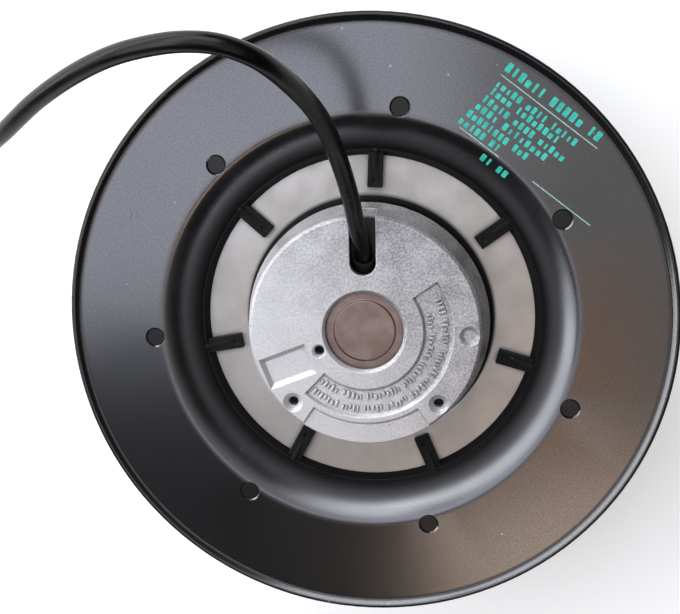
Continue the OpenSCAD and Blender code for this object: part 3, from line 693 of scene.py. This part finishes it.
RUBBER = Finish(
    "grommet_rubber", (0.008, 0.008, 0.008), (0.005, 0.005, 0.005), rough=0.6, specular=0.3,
    grain_depth=0.03 * MM,
)
STEEL = Finish(
    "ground_steel", (0.62, 0.62, 0.63), (0.52, 0.52, 0.53), rough=0.24, metallic=1.0, grain_size=0.2 * MM,
    grain_depth=0.006 * MM, patch_size=5 * MM, edge=0.3,
)
SPRING = Finish(
    "blued_spring_steel", (0.2, 0.23, 0.3), (0.14, 0.16, 0.2), rough=0.3, metallic=1.0, grain_size=0.2 * MM,
    grain_depth=0.006 * MM, patch_size=4 * MM, edge=0.3, edge_wear_and_highlight_color=(0.5, 0.52, 0.56),
)
TURNED = LayeredFinish(
    "turned_hub_metal", (0.55, 0.55, 0.56), (0.45, 0.45, 0.46), rough=0.34, metallic=1.0, grain_size=0.3 * MM,
    grain_depth=0.008 * MM, patch_size=5 * MM, edge=0.4, step=0.35 * MM,
)
CAGE = Finish(
    "cage_aluminium", (0.58, 0.58, 0.59), (0.44, 0.44, 0.45), rough=0.5, metallic=1.0, grain_depth=0.05 * MM,
    patch_size=6 * MM, edge=0.4,
)
LAMINATION = LayeredFinish(
    "lamination_steel", (0.2, 0.21, 0.23), (0.13, 0.135, 0.15), rough=0.45, metallic=1.0, grain_size=0.4 * MM,
    grain_depth=0.03 * MM, patch_size=5 * MM, step=0.5 * MM,
)
COPPER = LayeredFinish(
    "enamelled_copper", (0.6, 0.22, 0.09), (0.42, 0.13, 0.05), rough=0.3, metallic=1.0, grain_size=0.5 * MM,
    grain_depth=0.05 * MM, patch_size=3 * MM, step=0.55 * MM, along=(1.0, 0.0),
)
BOBBIN = Finish(
    "bobbin_plastic", (0.72, 0.67, 0.52), (0.64, 0.58, 0.44), rough=0.45, patch_size=8 * MM, edge=0.2,
    edge_wear_and_highlight_color=(0.8, 0.76, 0.64),
)
PROTECTOR = Finish("protector_case", (0.68, 0.65, 0.57), (0.6, 0.57, 0.5), rough=0.5, patch_size=5 * MM)
LEAD = Finish("lead_insulation", (0.38, 0.03, 0.025), (0.3, 0.02, 0.018), rough=0.42, patch_size=6 * MM)
BROWN = Finish("brown_core", (0.11, 0.035, 0.012), (0.08, 0.024, 0.009), rough=0.36, patch_size=6 * MM)
BLUE = Finish("blue_core", (0.015, 0.09, 0.34), (0.01, 0.065, 0.26), rough=0.36, patch_size=6 * MM)
EARTH = StripedCore("earth_core", (0.03, 0.2, 0.03), (0.02, 0.15, 0.02), rough=0.36, patch_size=6 * MM)
TIN = Finish(
    "ferrule_tin", (0.7, 0.7, 0.71), (0.58, 0.58, 0.6), rough=0.3, metallic=1.0, grain_size=0.25 * MM,
    grain_depth=0.01 * MM, patch_size=3 * MM, edge=0.4,
)
NYLON = Finish("tie_nylon", (0.02, 0.02, 0.022), (0.014, 0.014, 0.015), rough=0.38, patch_size=6 * MM)
INK = Finish(
    "print_ink", (0.045, 0.65, 0.52), (0.025, 0.45, 0.36), rough=0.5, grain_size=0.5 * MM,
    grain_depth=0.01 * MM, grain_tone=0.8, patch_size=2.5 * MM,
)
PALE_INK = Finish(
    "rule_ink", (0.4, 0.66, 0.58), (0.28, 0.5, 0.43), rough=0.5, grain_size=0.5 * MM, grain_depth=0.01 * MM,
    grain_tone=0.8, patch_size=2.5 * MM,
)

NODE_FINISHES: tuple[tuple[Finish, tuple[str, ...]], ...] = (
    (PLASTIC, ("back_plate",)),
    (BLADE_PLASTIC, ("bladed_shroud",)),
    (ALUMINIUM, ("stator_flange",)),
    (CAP_STEEL, ("bearing_cap",)),
    (ZINCED, ("rotor_cup",)),
    (RUBBER, ("cable_grommet",)),
    (SHEATH, ("supply_cable", "cable_coil", "cable_tail")),
    (LEAD, ("winding_leads",)),
    (BROWN, ("core_wires",)),
    (TIN, ("wire_ferrules",)),
    (NYLON, ("cable_tie",)),
    (LAMINATION, ("stator_core", "rotor_core")),
    (BOBBIN, ("coil_bobbins",)),
    (COPPER, ("pole_coils", "shading_rings")),
    (PROTECTOR, ("thermal_protector",)),
    (CAGE, ("rotor_cage",)),
    (TURNED, ("rotor_hub",)),
    (SPRING, ("preload_spring", "shaft_circlip")),
    (STEEL, (
        "shaft", "spacer_washer", "upper_outer_race", "lower_outer_race", "upper_inner_race",
        "lower_inner_race", "upper_shields", "lower_shields", "upper_balls", "lower_balls", "upper_ball_cage",
        "lower_ball_cage",
    )),
)


def smooth_group() -> bpy.types.NodeTree:
    """Builds, at its first use, the node group that shades a mesh smooth but for its sharp edges.

    Returns:
        The node group.
    """
    name = "smooth_but_sharp_edges"
    if name in bpy.data.node_groups:
        return bpy.data.node_groups[name]
    made = bpy.data.node_groups.new(name, "GeometryNodeTree")
    made.interface.new_socket("Geometry", in_out="INPUT", socket_type=GEOMETRY)
    made.interface.new_socket("Geometry", in_out="OUTPUT", socket_type=GEOMETRY)
    tree = Tree(made)
    source = tree.node("NodeGroupInput").outputs["Geometry"]
    plain = tree.node("GeometryNodeRemoveAttribute", {"Geometry": source, "Name": "custom_normal"}).outputs[0]
    merged = tree.node("GeometryNodeMergeByDistance", {"Geometry": plain, "Distance": MERGE_GAP}).outputs[0]
    smooth = tree.node("GeometryNodeSetShadeSmooth", {"Geometry": merged, "Shade Smooth": True}).outputs[0]
    bend = tree.node("GeometryNodeInputMeshEdgeAngle").outputs["Unsigned Angle"]
    limit = math.radians(SHARP_ANGLE)
    soft = tree.node("FunctionNodeCompare", {0: bend, 1: limit}, operation="LESS_THAN").outputs[0]
    edges = tree.node("GeometryNodeSetShadeSmooth", {"Geometry": smooth, "Shade Smooth": soft}, domain="EDGE")
    tree.node("NodeGroupOutput", {"Geometry": edges.outputs[0]})
    return made


@dataclass
class PackedPieces:
    """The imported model's own pieces, which keep their shape and get a finish and smooth shading."""

    nodes: Mapping[str, bpy.types.Object]

    def dress(self) -> None:
        """Gives every node its finish and its shading."""
        for finish, names in NODE_FINISHES:
            for name in names:
                piece = self.nodes[name]
                piece.data.materials.clear()
                piece.data.materials.append(finish.material())
                piece.modifiers.new("shading", "NODES").node_group = smooth_group()
                LOG.info("%s dressed in %s", name, finish.name)


def new_piece(name: str, data: bpy.types.ID, finish: Finish, body: Body) -> bpy.types.Object:
    """Makes a piece of the object from a mesh or a curve.

    Args:
        name: The piece's name.
        data: Its mesh or curve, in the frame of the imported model.
        finish: Its finish.
        body: The body that it rides on.

    Returns:
        The new object.
    """
    piece = placed(name, data)
    data.materials.append(finish.material())
    if isinstance(data, bpy.types.Mesh):
        piece.modifiers.new("shading", "NODES").node_group = smooth_group()
    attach(piece, body.value)
    LOG.info("%s made in %s", name, finish.name)
    return piece


def tube_curve(name: str, points: Sequence[Vector], radius: float) -> bpy.types.Curve:
    """Makes a round curve with closed ends.

    Args:
        name: The curve's name.
        points: The points that it follows.
        radius: Its radius.

    Returns:
        The new curve.
    """
    curve = bpy.data.curves.new(name, "CURVE")
    curve.dimensions = "3D"
    curve.bevel_depth = radius
    curve.bevel_resolution = 6
    curve.use_fill_caps = True
    spline = curve.splines.new("POLY")
    spline.points.add(len(points) - 1)
    for point, place in zip(spline.points, points):
        point.co = (*place, 1.0)
    return curve


def smooth_line(points: Sequence[Vector], steps: int) -> list[Vector]:
    """Lays a smooth line through points.

    Args:
        points: The points that it passes through.
        steps: The number of steps on each stretch.

    Returns:
        The points of the line.
    """
    ends = [2 * points[0] - points[1], *points, 2 * points[-1] - points[-2]]
    line = []
    for before, here, there, after in zip(ends, ends[1:], ends[2:], ends[3:]):
        for step in range(steps):
            t = step / steps
            bend = 2 * before - 5 * here + 4 * there - after
            turn = 3 * here - 3 * there + after - before
            line.append(here + 0.5 * t * ((there - before) + t * (bend + t * turn)))
    return [*line, points[-1]]


def corner_loop(
    at: Vector, along: Vector, across: Vector, length: float, width: float, cut: float,
) -> list[Vector]:
    """Returns the eight corners of a rectangle whose corners are cut off.

    Args:
        at: Its middle.
        along: Unit vector of its length.
        across: Unit vector of its width.
        length: Its length.
        width: Its width.
        cut: The length that is cut off each side at a corner.

    Returns:
        The corners in order.
    """
    x, y = length / 2, width / 2
    corners = (
        (x, y - cut), (x - cut, y), (cut - x, y), (-x, y - cut),
        (-x, cut - y), (cut - x, -y), (x - cut, -y), (x, cut - y),
    )
    return [at + along * a + across * b for a, b in corners]


def loft(shape: bmesh.types.BMesh, loops: Sequence[Loop], ring: bool = False) -> None:
    """Adds a closed body between loops of points.

    Args:
        shape: The mesh that it is added to.
        loops: The loops, with the same number of points each.
        ring: Whether the last loop joins the first one again.
    """
    rows = [[shape.verts.new(point) for point in loop] for loop in loops]
    pairs = list(zip(rows, rows[1:]))
    if ring:
        pairs.append((rows[-1], rows[0]))
    else:
        shape.faces.new(rows[0][::-1])
        shape.faces.new(rows[-1])
    for low, high in pairs:
        for i, corner in enumerate(low):
            j = (i + 1) % len(low)
            shape.faces.new((corner, low[j], high[j], high[i]))


def mesh_piece(name: str, shape: bmesh.types.BMesh, finish: Finish, body: Body) -> bpy.types.Object:
    """Makes a piece of the object from a shape, with its faces turned outwards.

    Args:
        name: The piece's name.
        shape: Its shape, which is used up.
        finish: Its finish.
        body: The body that it rides on.

    Returns:
        The new object.
    """
    bmesh.ops.recalc_face_normals(shape, faces=shape.faces)
    mesh = bpy.data.meshes.new(name)
    shape.to_mesh(mesh)
    shape.free()
    return new_piece(name, mesh, finish, body)


@dataclass
class SupplyCable:
    """The round supply cable: a free stretch, a put-away coil in its tie, and a tail with stripped cores."""

    radius: float = 2.4 * MM
    coil_centre: tuple[float, float] = (-171 * MM, 8 * MM)
    coil_in_r: float = 22 * MM
    coil_turns: float = 2.2
    turn_step: float = 4.9 * MM
    lie_z: float = 3.3 * MM
    land_z: float = 8.3 * MM
    land_turn: float = 100.0
    tail_turn: float = 185.0
    tail_l: float = 26 * MM
    steps: int = 5
    coil_step: float = 6.0
    core_r: float = 0.95 * MM
    core_at: float = 1.0 * MM
    core_l: float = 34 * MM
    core_fan: float = 7.0
    core_fall: float = 2.3
    core_bow: float = 0.9 * MM
    core_drop: float = 1.7
    core_lift: float = 1.1
    core_steps: int = 17
    middle_bow: float = -0.6
    bare_l: float = 31.2 * MM
    tie_turn: float = -90.0
    tie_w: float = 2.5 * MM
    tie_t: float = 0.8 * MM
    tie_gap: float = 0.1 * MM
    tie_step: float = 15.0
    head_levels: tuple[Point, ...] = ((0, 4.6, 4.2), (2.4, 4.6, 4.2), (3.0, 3.8, 3.4))
    head_cut: float = 0.5 * MM
    end_l: float = 9 * MM
    end_at: float = 2.2 * MM
    end_lift: float = 1.5 * MM
    end_rise: float = 0.9 * MM
    end_bend: float = 2.2
    end_cut: float = 0.2 * MM
    end_steps: int = 8
    route: tuple[Point, ...] = (
        (0, 19.5, 60), (0, 24, 63.8), (-1, 31, 69.5), (-1.5, 38, 75.8), (-2.5, 45.5, 82.5),
        (-4, 53.5, 90.5), (-6, 61, 100), (-9.5, 67.5, 110), (-15.5, 74, 120), (-23, 77.5, 124),
        (-31, 78.5, 124), (-40, 78, 121), (-51, 76, 116), (-63, 72, 109), (-76, 66, 100.5),
        (-89, 58.5, 90.5), (-101, 52.5, 79.5), (-112.5, 47.5, 66), (-123, 43.5, 51),
        (-132.5, 40, 36.5), (-142, 37, 24.5), (-151.5, 34.8, 16),
        (-161, 32.5, 11), (-170.5, 30.2, 8.8), (-179.5, 28, 8.3),
    )

    def coil_start(self) -> float:
        """Returns the turn in degrees at which the coil begins."""
        return self.tail_turn - 360 * self.coil_turns

    def turn_radius(self, turn: float) -> float:
        """Returns the radius of the coil at a turn in degrees, counted on to the tail."""
        return self.coil_in_r + self.turn_step * (turn - self.coil_start()) / 360

    def coil_point(self, turn: float) -> Vector:
        """Finds a point of the coil, which comes down beside its other turns after its start.

        Args:
            turn: The turn in degrees, counted on to the tail.

        Returns:
            The point.
        """
        share = min(1.0, (turn - self.coil_start()) / self.land_turn)
        landed = share * share * (3 - 2 * share)
        height = self.land_z + (self.lie_z - self.land_z) * landed
        return polar(self.turn_radius(turn), turn, height) + Vector((*self.coil_centre, 0))

    def centre_line(self) -> list[Vector]:
        """Lays the cable's axis from the flange to the end of its sheath.

        Returns:
            The points of the axis.
        """
        line = smooth_line([Vector(point) * MM for point in self.route], self.steps)
        count = round(360 * self.coil_turns / self.coil_step)
        line += [self.coil_point(self.coil_start() + self.coil_step * i) for i in range(1, count + 1)]
        along = polar(1.0, self.tail_turn + 90)
        return [*line, line[-1] + along * self.tail_l / 2, line[-1] + along * self.tail_l]

    def core_line(self, tail_end: Vector, side: int) -> list[Vector]:
        """Returns the points of a core's axis.

        Args:
            tail_end: The middle of the sheath's end.
            side: The core's place in the fan: -1, 0 or 1.

        Returns:
            The points, from inside the sheath to inside the core's ferrule.
        """
        out, along, down = polar(1.0, self.tail_turn), polar(1.0, self.tail_turn + 90), Vector((0, 0, -1))
        start = tail_end + (out * side + down * (self.core_drop * abs(side) - self.core_lift)) * self.core_at
        fall = math.radians(self.core_fall * (2 - abs(side)))
        fan = math.radians(self.core_fan * side)
        ahead = out * math.cos(fall) * math.sin(fan) + down * math.sin(fall)
        ahead += along * math.cos(fall) * math.cos(fan)
        sway = out * self.core_bow * (side or self.middle_bow)
        line = []
        for step in range(-1, self.core_steps + 1):
            length = self.core_l * step / self.core_steps
            share = min(1.0, max(0.0, length / self.bare_l))
            line.append(start + ahead * length + sway * math.sin(math.pi * share) ** 2)
        return line

    def cores(self, tail_end: Vector) -> list[bpy.types.Object]:
        """Builds the three cores, each in its colour.

        Args:
            tail_end: The middle of the sheath's end.

        Returns:
            The cores.
        """
        made = []
        fan = ((-1, "brown_core", BROWN), (0, "earth_core", EARTH), (1, "blue_core", BLUE))
        for side, name, finish in fan:
            curve = tube_curve(name, self.core_line(tail_end, side), self.core_r)
            made.append(new_piece(name, curve, finish, Body.STATOR))
        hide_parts("core_wires")
        return made

    def tie(self) -> bpy.types.Object:
        """Builds the tie: a strap round the turns, its head, and the cut end of the strap.

        Returns:
            The tie.
        """
        out, along, up = polar(1.0, self.tie_turn), polar(1.0, self.tie_turn + 90), Vector((0, 0, 1))
        centre = Vector((*self.coil_centre, self.lie_z))
        inner, outer = (centre + out * self.turn_radius(self.tie_turn - 360 * i) for i in (1, 0))
        reach = self.radius + self.tie_gap
        shape = bmesh.new()
        loops = []
        for middle, first in ((inner, 90), (outer, -90)):
            for step in range(round(180 / self.tie_step) + 1):
                turn = math.radians(first + self.tie_step * step)
                away = out * math.cos(turn) + up * math.sin(turn)
                places = ((0, -1), (1, -1), (1, 1), (0, 1))
                loops.append([
                    middle + away * (reach + self.tie_t * a) + along * self.tie_w / 2 * b for a, b in places
                ])
        loft(shape, loops, ring=True)
        top = (inner + outer) / 2 + up * (reach + self.tie_t)
        loft(shape, [
            corner_loop(top + up * lift * MM, out, along, length * MM, width * MM, self.head_cut)
            for lift, length, width in self.head_levels
        ])
        strap = []
        for step in range(self.end_steps + 1):
            length = self.end_l * step / self.end_steps
            lift = self.end_lift + self.end_rise * math.sin(self.end_bend * step / self.end_steps)
            at = top + out * (self.end_at + length) + up * lift
            strap.append(corner_loop(at, along, up, self.tie_w, self.tie_t, self.end_cut))
        loft(shape, strap)
        tie = mesh_piece("cable_tie_strap", shape, NYLON, Body.STATOR)
        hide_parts("cable_tie")
        return tie

    def build(self) -> bpy.types.Object:
        """Returns:
            The cable.
        """
        line = self.centre_line()
        curve = tube_curve("supply_cable_sheath", line, self.radius)
        cable = new_piece("supply_cable_sheath", curve, SHEATH, Body.STATOR)
        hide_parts("supply_cable", "cable_coil", "cable_tail")
        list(self.cores(line[-1]))
        self.tie()
        return cable


@dataclass
class FlangeRelief:
    """Two rows of small cast marks that stand on the sunk band of the flange."""

    floor_z: float = 64.2 * MM
    rise: float = 0.45 * MM
    sink: float = 0.03 * MM
    rows: tuple[Point, ...] = ((19.0 * MM, 229.5, 377.0), (22.75 * MM, 229.0, 384.0))
    mark_h: float = 2.1 * MM
    height_shares: Point = (1.0, 0.72, 0.72)
    widths: tuple[float, float] = (0.5 * MM, 1.05 * MM)
    slopes: tuple[tuple[float, float], ...] = ((0.7, 0.12 * MM), (1.0, 0.24 * MM))
    corner: float = 0.1 * MM
    gap: float = 0.42 * MM
    group_gap: float = 1.3 * MM
    group: tuple[int, int] = (4, 9)
    seed: int = 4

    def mark(self, shape: bmesh.types.BMesh, radius: float, turn: float, width: float, height: float) -> None:
        """Adds one mark with sloping sides.

        Args:
            shape: The mesh that it is added to.
            radius: Its distance from the axis.
            turn: Its turn round the axis, in degrees.
            width: Its width along the row.
            height: Its height across the row.
        """
        along, across = polar(1.0, turn + 90), polar(1.0, turn)
        loops = []
        for lift, cut in ((-self.sink, 0.0), *((share * self.rise, cut) for share, cut in self.slopes)):
            at = polar(radius, turn, self.floor_z + lift)
            loops.append(corner_loop(at, along, across, width - cut, height - cut, self.corner))
        loft(shape, loops)

    def build(self) -> bpy.types.Object:
        """Builds the marks, which have no meaning, as one piece.

        Returns:
            The piece.
        """
        lots = random.Random(self.seed)
        shape = bmesh.new()
        for radius, turn, end in self.rows:
            left = lots.randint(*self.group)
            while turn < end:
                width = lots.uniform(*self.widths)
                height = self.mark_h * lots.choice(self.height_shares)
                shift = (self.mark_h - height) / 2 * lots.choice((-1, 1))
                turn += math.degrees(width / 2 / radius)
                self.mark(shape, radius + shift, turn, width, height)
                left -= 1
                step = self.gap if left else self.group_gap
                left = left or lots.randint(*self.group)
                turn += math.degrees((width / 2 + step) / radius)
        piece = mesh_piece("flange_relief", shape, ALUMINIUM, Body.STATOR)
        return piece


@dataclass
class HoleThreads:
    """Threads in the drilled holes of the flange, as ridges that wind down the wall of each hole."""

    wall_r: float = 1.66 * MM
    crest_r: float = 1.42 * MM
    pitch: float = 0.7 * MM
    flank: float = 0.42
    land: float = 0.06
    holes: tuple[tuple[str, float, float, float], ...] = (
        ("left_fixing_thread", -20.85, -20.85, 63.7),
        ("right_fixing_thread", 20.85, -20.85, 63.7),
        ("earth_thread", -12.931, -5.622, 64.6),
    )
    bottom_z: float = 60.6 * MM
    steps: int = 24

    def build(self) -> None:
        """Builds one thread for each hole."""
        section = (
            (self.wall_r, -self.flank), (self.crest_r, -self.land), (self.crest_r, self.land),
            (self.wall_r, self.flank),
        )
        for name, x, y, top in self.holes:
            shape = bmesh.new()
            axis = Vector((x * MM, y * MM, 0))
            count = round((top * MM - self.bottom_z) / self.pitch * self.steps)
            loops = []
            for step in range(count + 1):
                turn = 360 * step / self.steps
                height = self.bottom_z + self.pitch * step / self.steps
                loops.append([axis + polar(radius, turn, height + z * self.pitch) for radius, z in section])
            loft(shape, loops)
            piece = mesh_piece(name, shape, ALUMINIUM, Body.STATOR)


@dataclass
class BackPlatePrint:
    """Rows of plain ink blocks and thin rules on the back plate, and a raised mould mark."""

    face_z: float = 58 * MM
    recess_r: float = 60.8 * MM
    edge_r: float = 4 * MM
    edge_angle: float = 25.0
    bulge_r: float = 20 * MM
    ink_t: float = 0.03 * MM
    strips: int = 6
    sink: float = 0.02 * MM
    row_h: float = 2.05 * MM
    rule_w: float = 0.28 * MM
    rule_cut: float = 0.05 * MM
    height_shares: Point = (1.0, 1.0, 0.74)
    width_shares: Point = (0.7, 0.64, 0.36)
    corner_share: float = 0.14
    group_gap: float = 0.8
    rows: tuple[Row, ...] = (
        (36.3, 67.9, 27.6, (5, 4, 5)), (34.9, 66.0, 23.2, (4, 8)), (32.8, 64.0, 28.0, (5, 4, 5)),
        (30.9, 62.1, 24.4, (4, 8)), (28.6, 60.2, 20.8, (8, 3)), (26.4, 58.4, 14.0, (5, 2)),
        (32.2, 48.2, 9.4, (2, 2)),
    )
    tall_row: Row = (38.9, 72.2, 32.4, (6, 5, 2))
    tall_h: float = 2.7 * MM
    rules: tuple[Point, ...] = ((37.6, 69.8, 32.8), (26.6, 56.0, 13.4), (46.3, 41.1, 20.0))
    mark_bars: tuple[Point, ...] = ((-67.8, 32.8, 2.6), (-66.1, 32.8, 1.9))
    mark_w: float = 0.9 * MM
    mark_cut: float = 0.15 * MM
    mark_rise: float = 0.12 * MM
    turn: float = -37.9
    seed: int = 7

    def plate_z(self, point: Vector) -> float:
        """Follows the face of the back plate, and the edge and the wall of its recess.

        Args:
            point: A point above or below the plate.

        Returns:
            The height of the surface there.
        """
        inward = max(0.0, self.recess_r - math.hypot(point.x, point.y))
        slope = math.radians(self.edge_angle)
        if inward < self.edge_r * math.sin(slope):
            return self.face_z - self.edge_r + math.sqrt(self.edge_r ** 2 - inward ** 2)
        step = self.bulge_r - self.edge_r
        centre_z = self.face_z - self.edge_r - step * math.cos(slope)
        return centre_z + math.sqrt(self.bulge_r ** 2 - (inward + step * math.sin(slope)) ** 2)

    def laid(self, loop: Loop, lift: float) -> list[Vector]:
        """Returns a loop of points laid on the plate, with a lift above it."""
        return [Vector((point.x, point.y, self.plate_z(point) + lift)) for point in loop]

    def block(self, shape: bmesh.types.BMesh, at: Vector, length: float, height: float, cut: float) -> None:
        """Adds one thin block of ink with its corners cut, in strips that follow the plate.

        Args:
            shape: The mesh that it is added to.
            at: Its middle.
            length: Its length along the row.
            height: Its height across the row.
            cut: The length that is cut off each side at a corner.
        """
        along, across = polar(1.0, self.turn), polar(1.0, self.turn + 90)
        inside = height / 2 - cut
        levels = [inside * (2 * step / self.strips - 1) for step in range(self.strips + 1)]
        widths = [length - 2 * cut, *(length for _ in levels), length - 2 * cut]
        loops = []
        for level, width in zip([-height / 2, *levels, height / 2], widths):
            ends = [at + across * level + along * width / 2 * side for side in (-1, 1)]
            loops.append(self.laid(ends, -self.sink) + self.laid(ends[::-1], self.ink_t))
        loft(shape, loops)

    def row(self, shape: bmesh.types.BMesh, lots: random.Random, row: Row, height: float) -> None:
        """Adds a row of blocks.

        Args:
            shape: The mesh that they are added to.
            lots: The source of the blocks' sizes.
            row: Start and length of the row in millimetres, and the number of blocks in each group.
            height: Height of the row.
        """
        x, y, length, groups = row
        pitch = length * MM / (sum(groups) + self.group_gap * (len(groups) - 1))
        place = Vector((x * MM, y * MM, 0))
        along, across = polar(1.0, self.turn), polar(1.0, self.turn + 90)
        for count in groups:
            for _ in range(count):
                tall = height * lots.choice(self.height_shares)
                width = pitch * lots.choice(self.width_shares)
                middle = place + along * pitch / 2 - across * (height - tall) / 2
                self.block(shape, middle, width, tall, self.corner_share * width)
                place += along * pitch
            place += along * self.group_gap * pitch

    def build(self) -> None:
        """Builds the print and the mould mark."""
        lots = random.Random(self.seed)
        shape = bmesh.new()
        self.row(shape, lots, self.tall_row, self.tall_h)
        for row in self.rows:
            self.row(shape, lots, row, self.row_h)
        mesh_piece("back_plate_print", shape, INK, Body.IMPELLER)
        shape = bmesh.new()
        for x, y, length in self.rules:
            middle = Vector((x * MM, y * MM, 0)) + polar(length * MM / 2, self.turn)
            self.block(shape, middle, length * MM, self.rule_w, self.rule_cut)
        mesh_piece("back_plate_rules", shape, PALE_INK, Body.IMPELLER)
        shape = bmesh.new()
        along, across = Vector((0, 1, 0)), Vector((1, 0, 0))
        for x, y, length in self.mark_bars:
            loops = []
            for lift, cut in ((-self.sink, 0.0), (self.mark_rise, self.mark_rise)):
                at = Vector((x * MM, y * MM, self.face_z + lift))
                long, wide = length * MM - cut, self.mark_w - cut
                loops.append(corner_loop(at, along, across, long, wide, self.mark_cut))
            loft(shape, loops)
        mark = mesh_piece("mould_mark", shape, PLASTIC, Body.IMPELLER)


@dataclass(frozen=True)
class Panel:
    """Soft light panel: where it hangs, its size, its brightness as seen (1 is white) and its colour."""

    name: str
    place: Point
    size: tuple[float, float]
    radiance: float
    color: Color = (1.0, 1.0, 1.0)
    aim: Point | None = None
    roll: float = 0.0


PANELS = (
    Panel("cool_panel", (-0.235, 0.06, 0.858), (0.47, 0.5), 2.15, (0.83, 0.86, 1.0)),
    Panel("side_panel", (0.24, 0.11, 0.858), (0.5, 0.5), 0.58),
    Panel("low_side_panel", (0.31, -0.22, 0.858), (0.36, 0.16), 0.5),
    Panel("low_warm_panel", (0.055, -0.21, 0.858), (0.15, 0.2), 0.9, (1.0, 0.56, 0.34)),
    Panel("warm_panel", (0.115, -0.41, 0.858), (0.26, 0.2), 2.7, (1.0, 0.78, 0.64), roll=20.0),
    Panel("window_panel", (-0.674, 0.314, 0.727), (1.8, 0.42), 4.1, (0.94, 0.96, 1.0), aim=(0.0, 0.0, 0.058)),
    Panel("far_panel", (-0.056, 0.64, 0.824), (0.5, 0.5), 4.0, (0.94, 0.96, 1.0), aim=(0.0, 0.0, 0.058)),
    Panel("low_panel", (-0.892, 0.602, 0.288), (2.0, 0.28), 4.6, (0.97, 0.98, 1.0), aim=(0.0, 0.0, 0.058)),
)


@dataclass
class Studio:
    """Floor, light and camera of the picture."""

    floor_w: float = 6.0
    floor_color: Color = (0.78, 0.78, 0.78)
    floor_glow: float = 0.45
    far_glow: float = 1.0
    near_r: float = 0.3
    far_r: float = 1.0
    world_color: Color = (0.025, 0.025, 0.026)
    eye: Point = (0.030974, 0.071034, 0.357983)
    ahead: Point = (-0.12429, -0.21121, -0.96951)
    upward: Point = (-0.004, 0.97718, -0.21237)
    lens: float = 57.18
    sensor: float = 36.0

    def camera(self) -> None:
        """Places the camera as the picture was taken."""
        data = bpy.data.cameras.new("camera")
        data.lens = self.lens
        data.sensor_width = self.sensor
        data.clip_start = 0.01
        camera = placed("camera", data)
        back = -Vector(self.ahead).normalized()
        up = Vector(self.upward).normalized()
        turn = Matrix((up.cross(back), up, back)).transposed()
        camera.matrix_world = Matrix.Translation(self.eye) @ turn.to_4x4()
        bpy.context.scene.camera = camera

    def floor(self) -> None:
        """Lays the pale floor that the fan stands on."""
        half = self.floor_w / 2
        mesh = bpy.data.meshes.new("floor")
        corners = [(-half, -half, 0), (half, -half, 0), (half, half, 0), (-half, half, 0)]
        mesh.from_pydata(corners, [], [(0, 1, 2, 3)])
        floor = placed("floor", mesh)
        made = bpy.data.materials.new("pale_floor")
        tree = empty_tree(made)
        rays = tree.node("ShaderNodeLightPath").outputs
        mirrored = tree.math("MAXIMUM", rays["Is Glossy Ray"], rays["Is Transmission Ray"])
        seen = tree.math("MAXIMUM", rays["Is Camera Ray"], mirrored)
        reach = tree.ramp(tree.radius(), self.near_r, self.far_r, self.floor_glow, self.far_glow)
        glow = tree.math("MULTIPLY", seen, reach)
        paint = tree.node("ShaderNodeBsdfDiffuse", {"Color": (*self.floor_color, 1.0)})
        white = tree.node("ShaderNodeEmission", {"Color": (1.0, 1.0, 1.0, 1.0), "Strength": glow})
        both = tree.node("ShaderNodeAddShader", {0: paint.outputs[0], 1: white.outputs[0]})
        below = tree.node("ShaderNodeNewGeometry").outputs["Backfacing"]
        clear = tree.node("ShaderNodeBsdfTransparent")
        surface = tree.node("ShaderNodeMixShader", {0: below, 1: both.outputs[0], 2: clear.outputs[0]})
        tree.node("ShaderNodeOutputMaterial", {"Surface": surface.outputs[0]})
        mesh.materials.append(made)

    def lamp(self, panel: Panel) -> None:
        """Hangs a soft panel.

        Args:
            panel: The panel's place, size and light.
        """
        data = bpy.data.lights.new(panel.name, "AREA")
        data.shape = "RECTANGLE"
        data.size, data.size_y = panel.size
        data.energy = panel.radiance * math.pi * panel.size[0] * panel.size[1]
        data.color = panel.color
        lamp = placed(panel.name, data)
        lamp.visible_camera = False
        aim = Vector(panel.aim) if panel.aim else Vector((*panel.place[:2], 0))
        facing = (aim - Vector(panel.place)).to_track_quat("-Z", "Y").to_matrix().to_4x4()
        turned = Matrix.Rotation(math.radians(panel.roll), 4, "Z")
        lamp.matrix_world = Matrix.Translation(panel.place) @ facing @ turned

    def light(self) -> None:
        """Hangs the panels and sets the world."""
        for panel in PANELS:
            self.lamp(panel)
        world = bpy.data.worlds.new("studio")
        tree = empty_tree(world)
        seen = tree.node("ShaderNodeLightPath").outputs["Is Camera Ray"]
        color = tree.blend(seen, (*self.world_color, 1.0), (1.0, 1.0, 1.0, 1.0))
        sky = tree.node("ShaderNodeBackground", {"Color": color, "Strength": 1.0})
        tree.node("ShaderNodeOutputWorld", {"Surface": sky.outputs[0]})
        bpy.context.scene.world = world
        bpy.context.scene.view_settings.view_transform = "Standard"

    def build(self) -> None:
        """Builds the whole setting."""
        self.camera()
        self.floor()
        self.light()


def main() -> None:
    """Builds the pieces in order."""
    logging.basicConfig(level=logging.INFO, format="%(name)s: %(message)s")
    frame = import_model()
    Studio().build()
    SupplyCable().build()
    PackedPieces(frame["nodes"]).dress()
    FlangeRelief().build()
    HoleThreads().build()
    BackPlatePrint().build()
    bpy.context.view_layer.update()


if __name__ == "__main__":
    main()
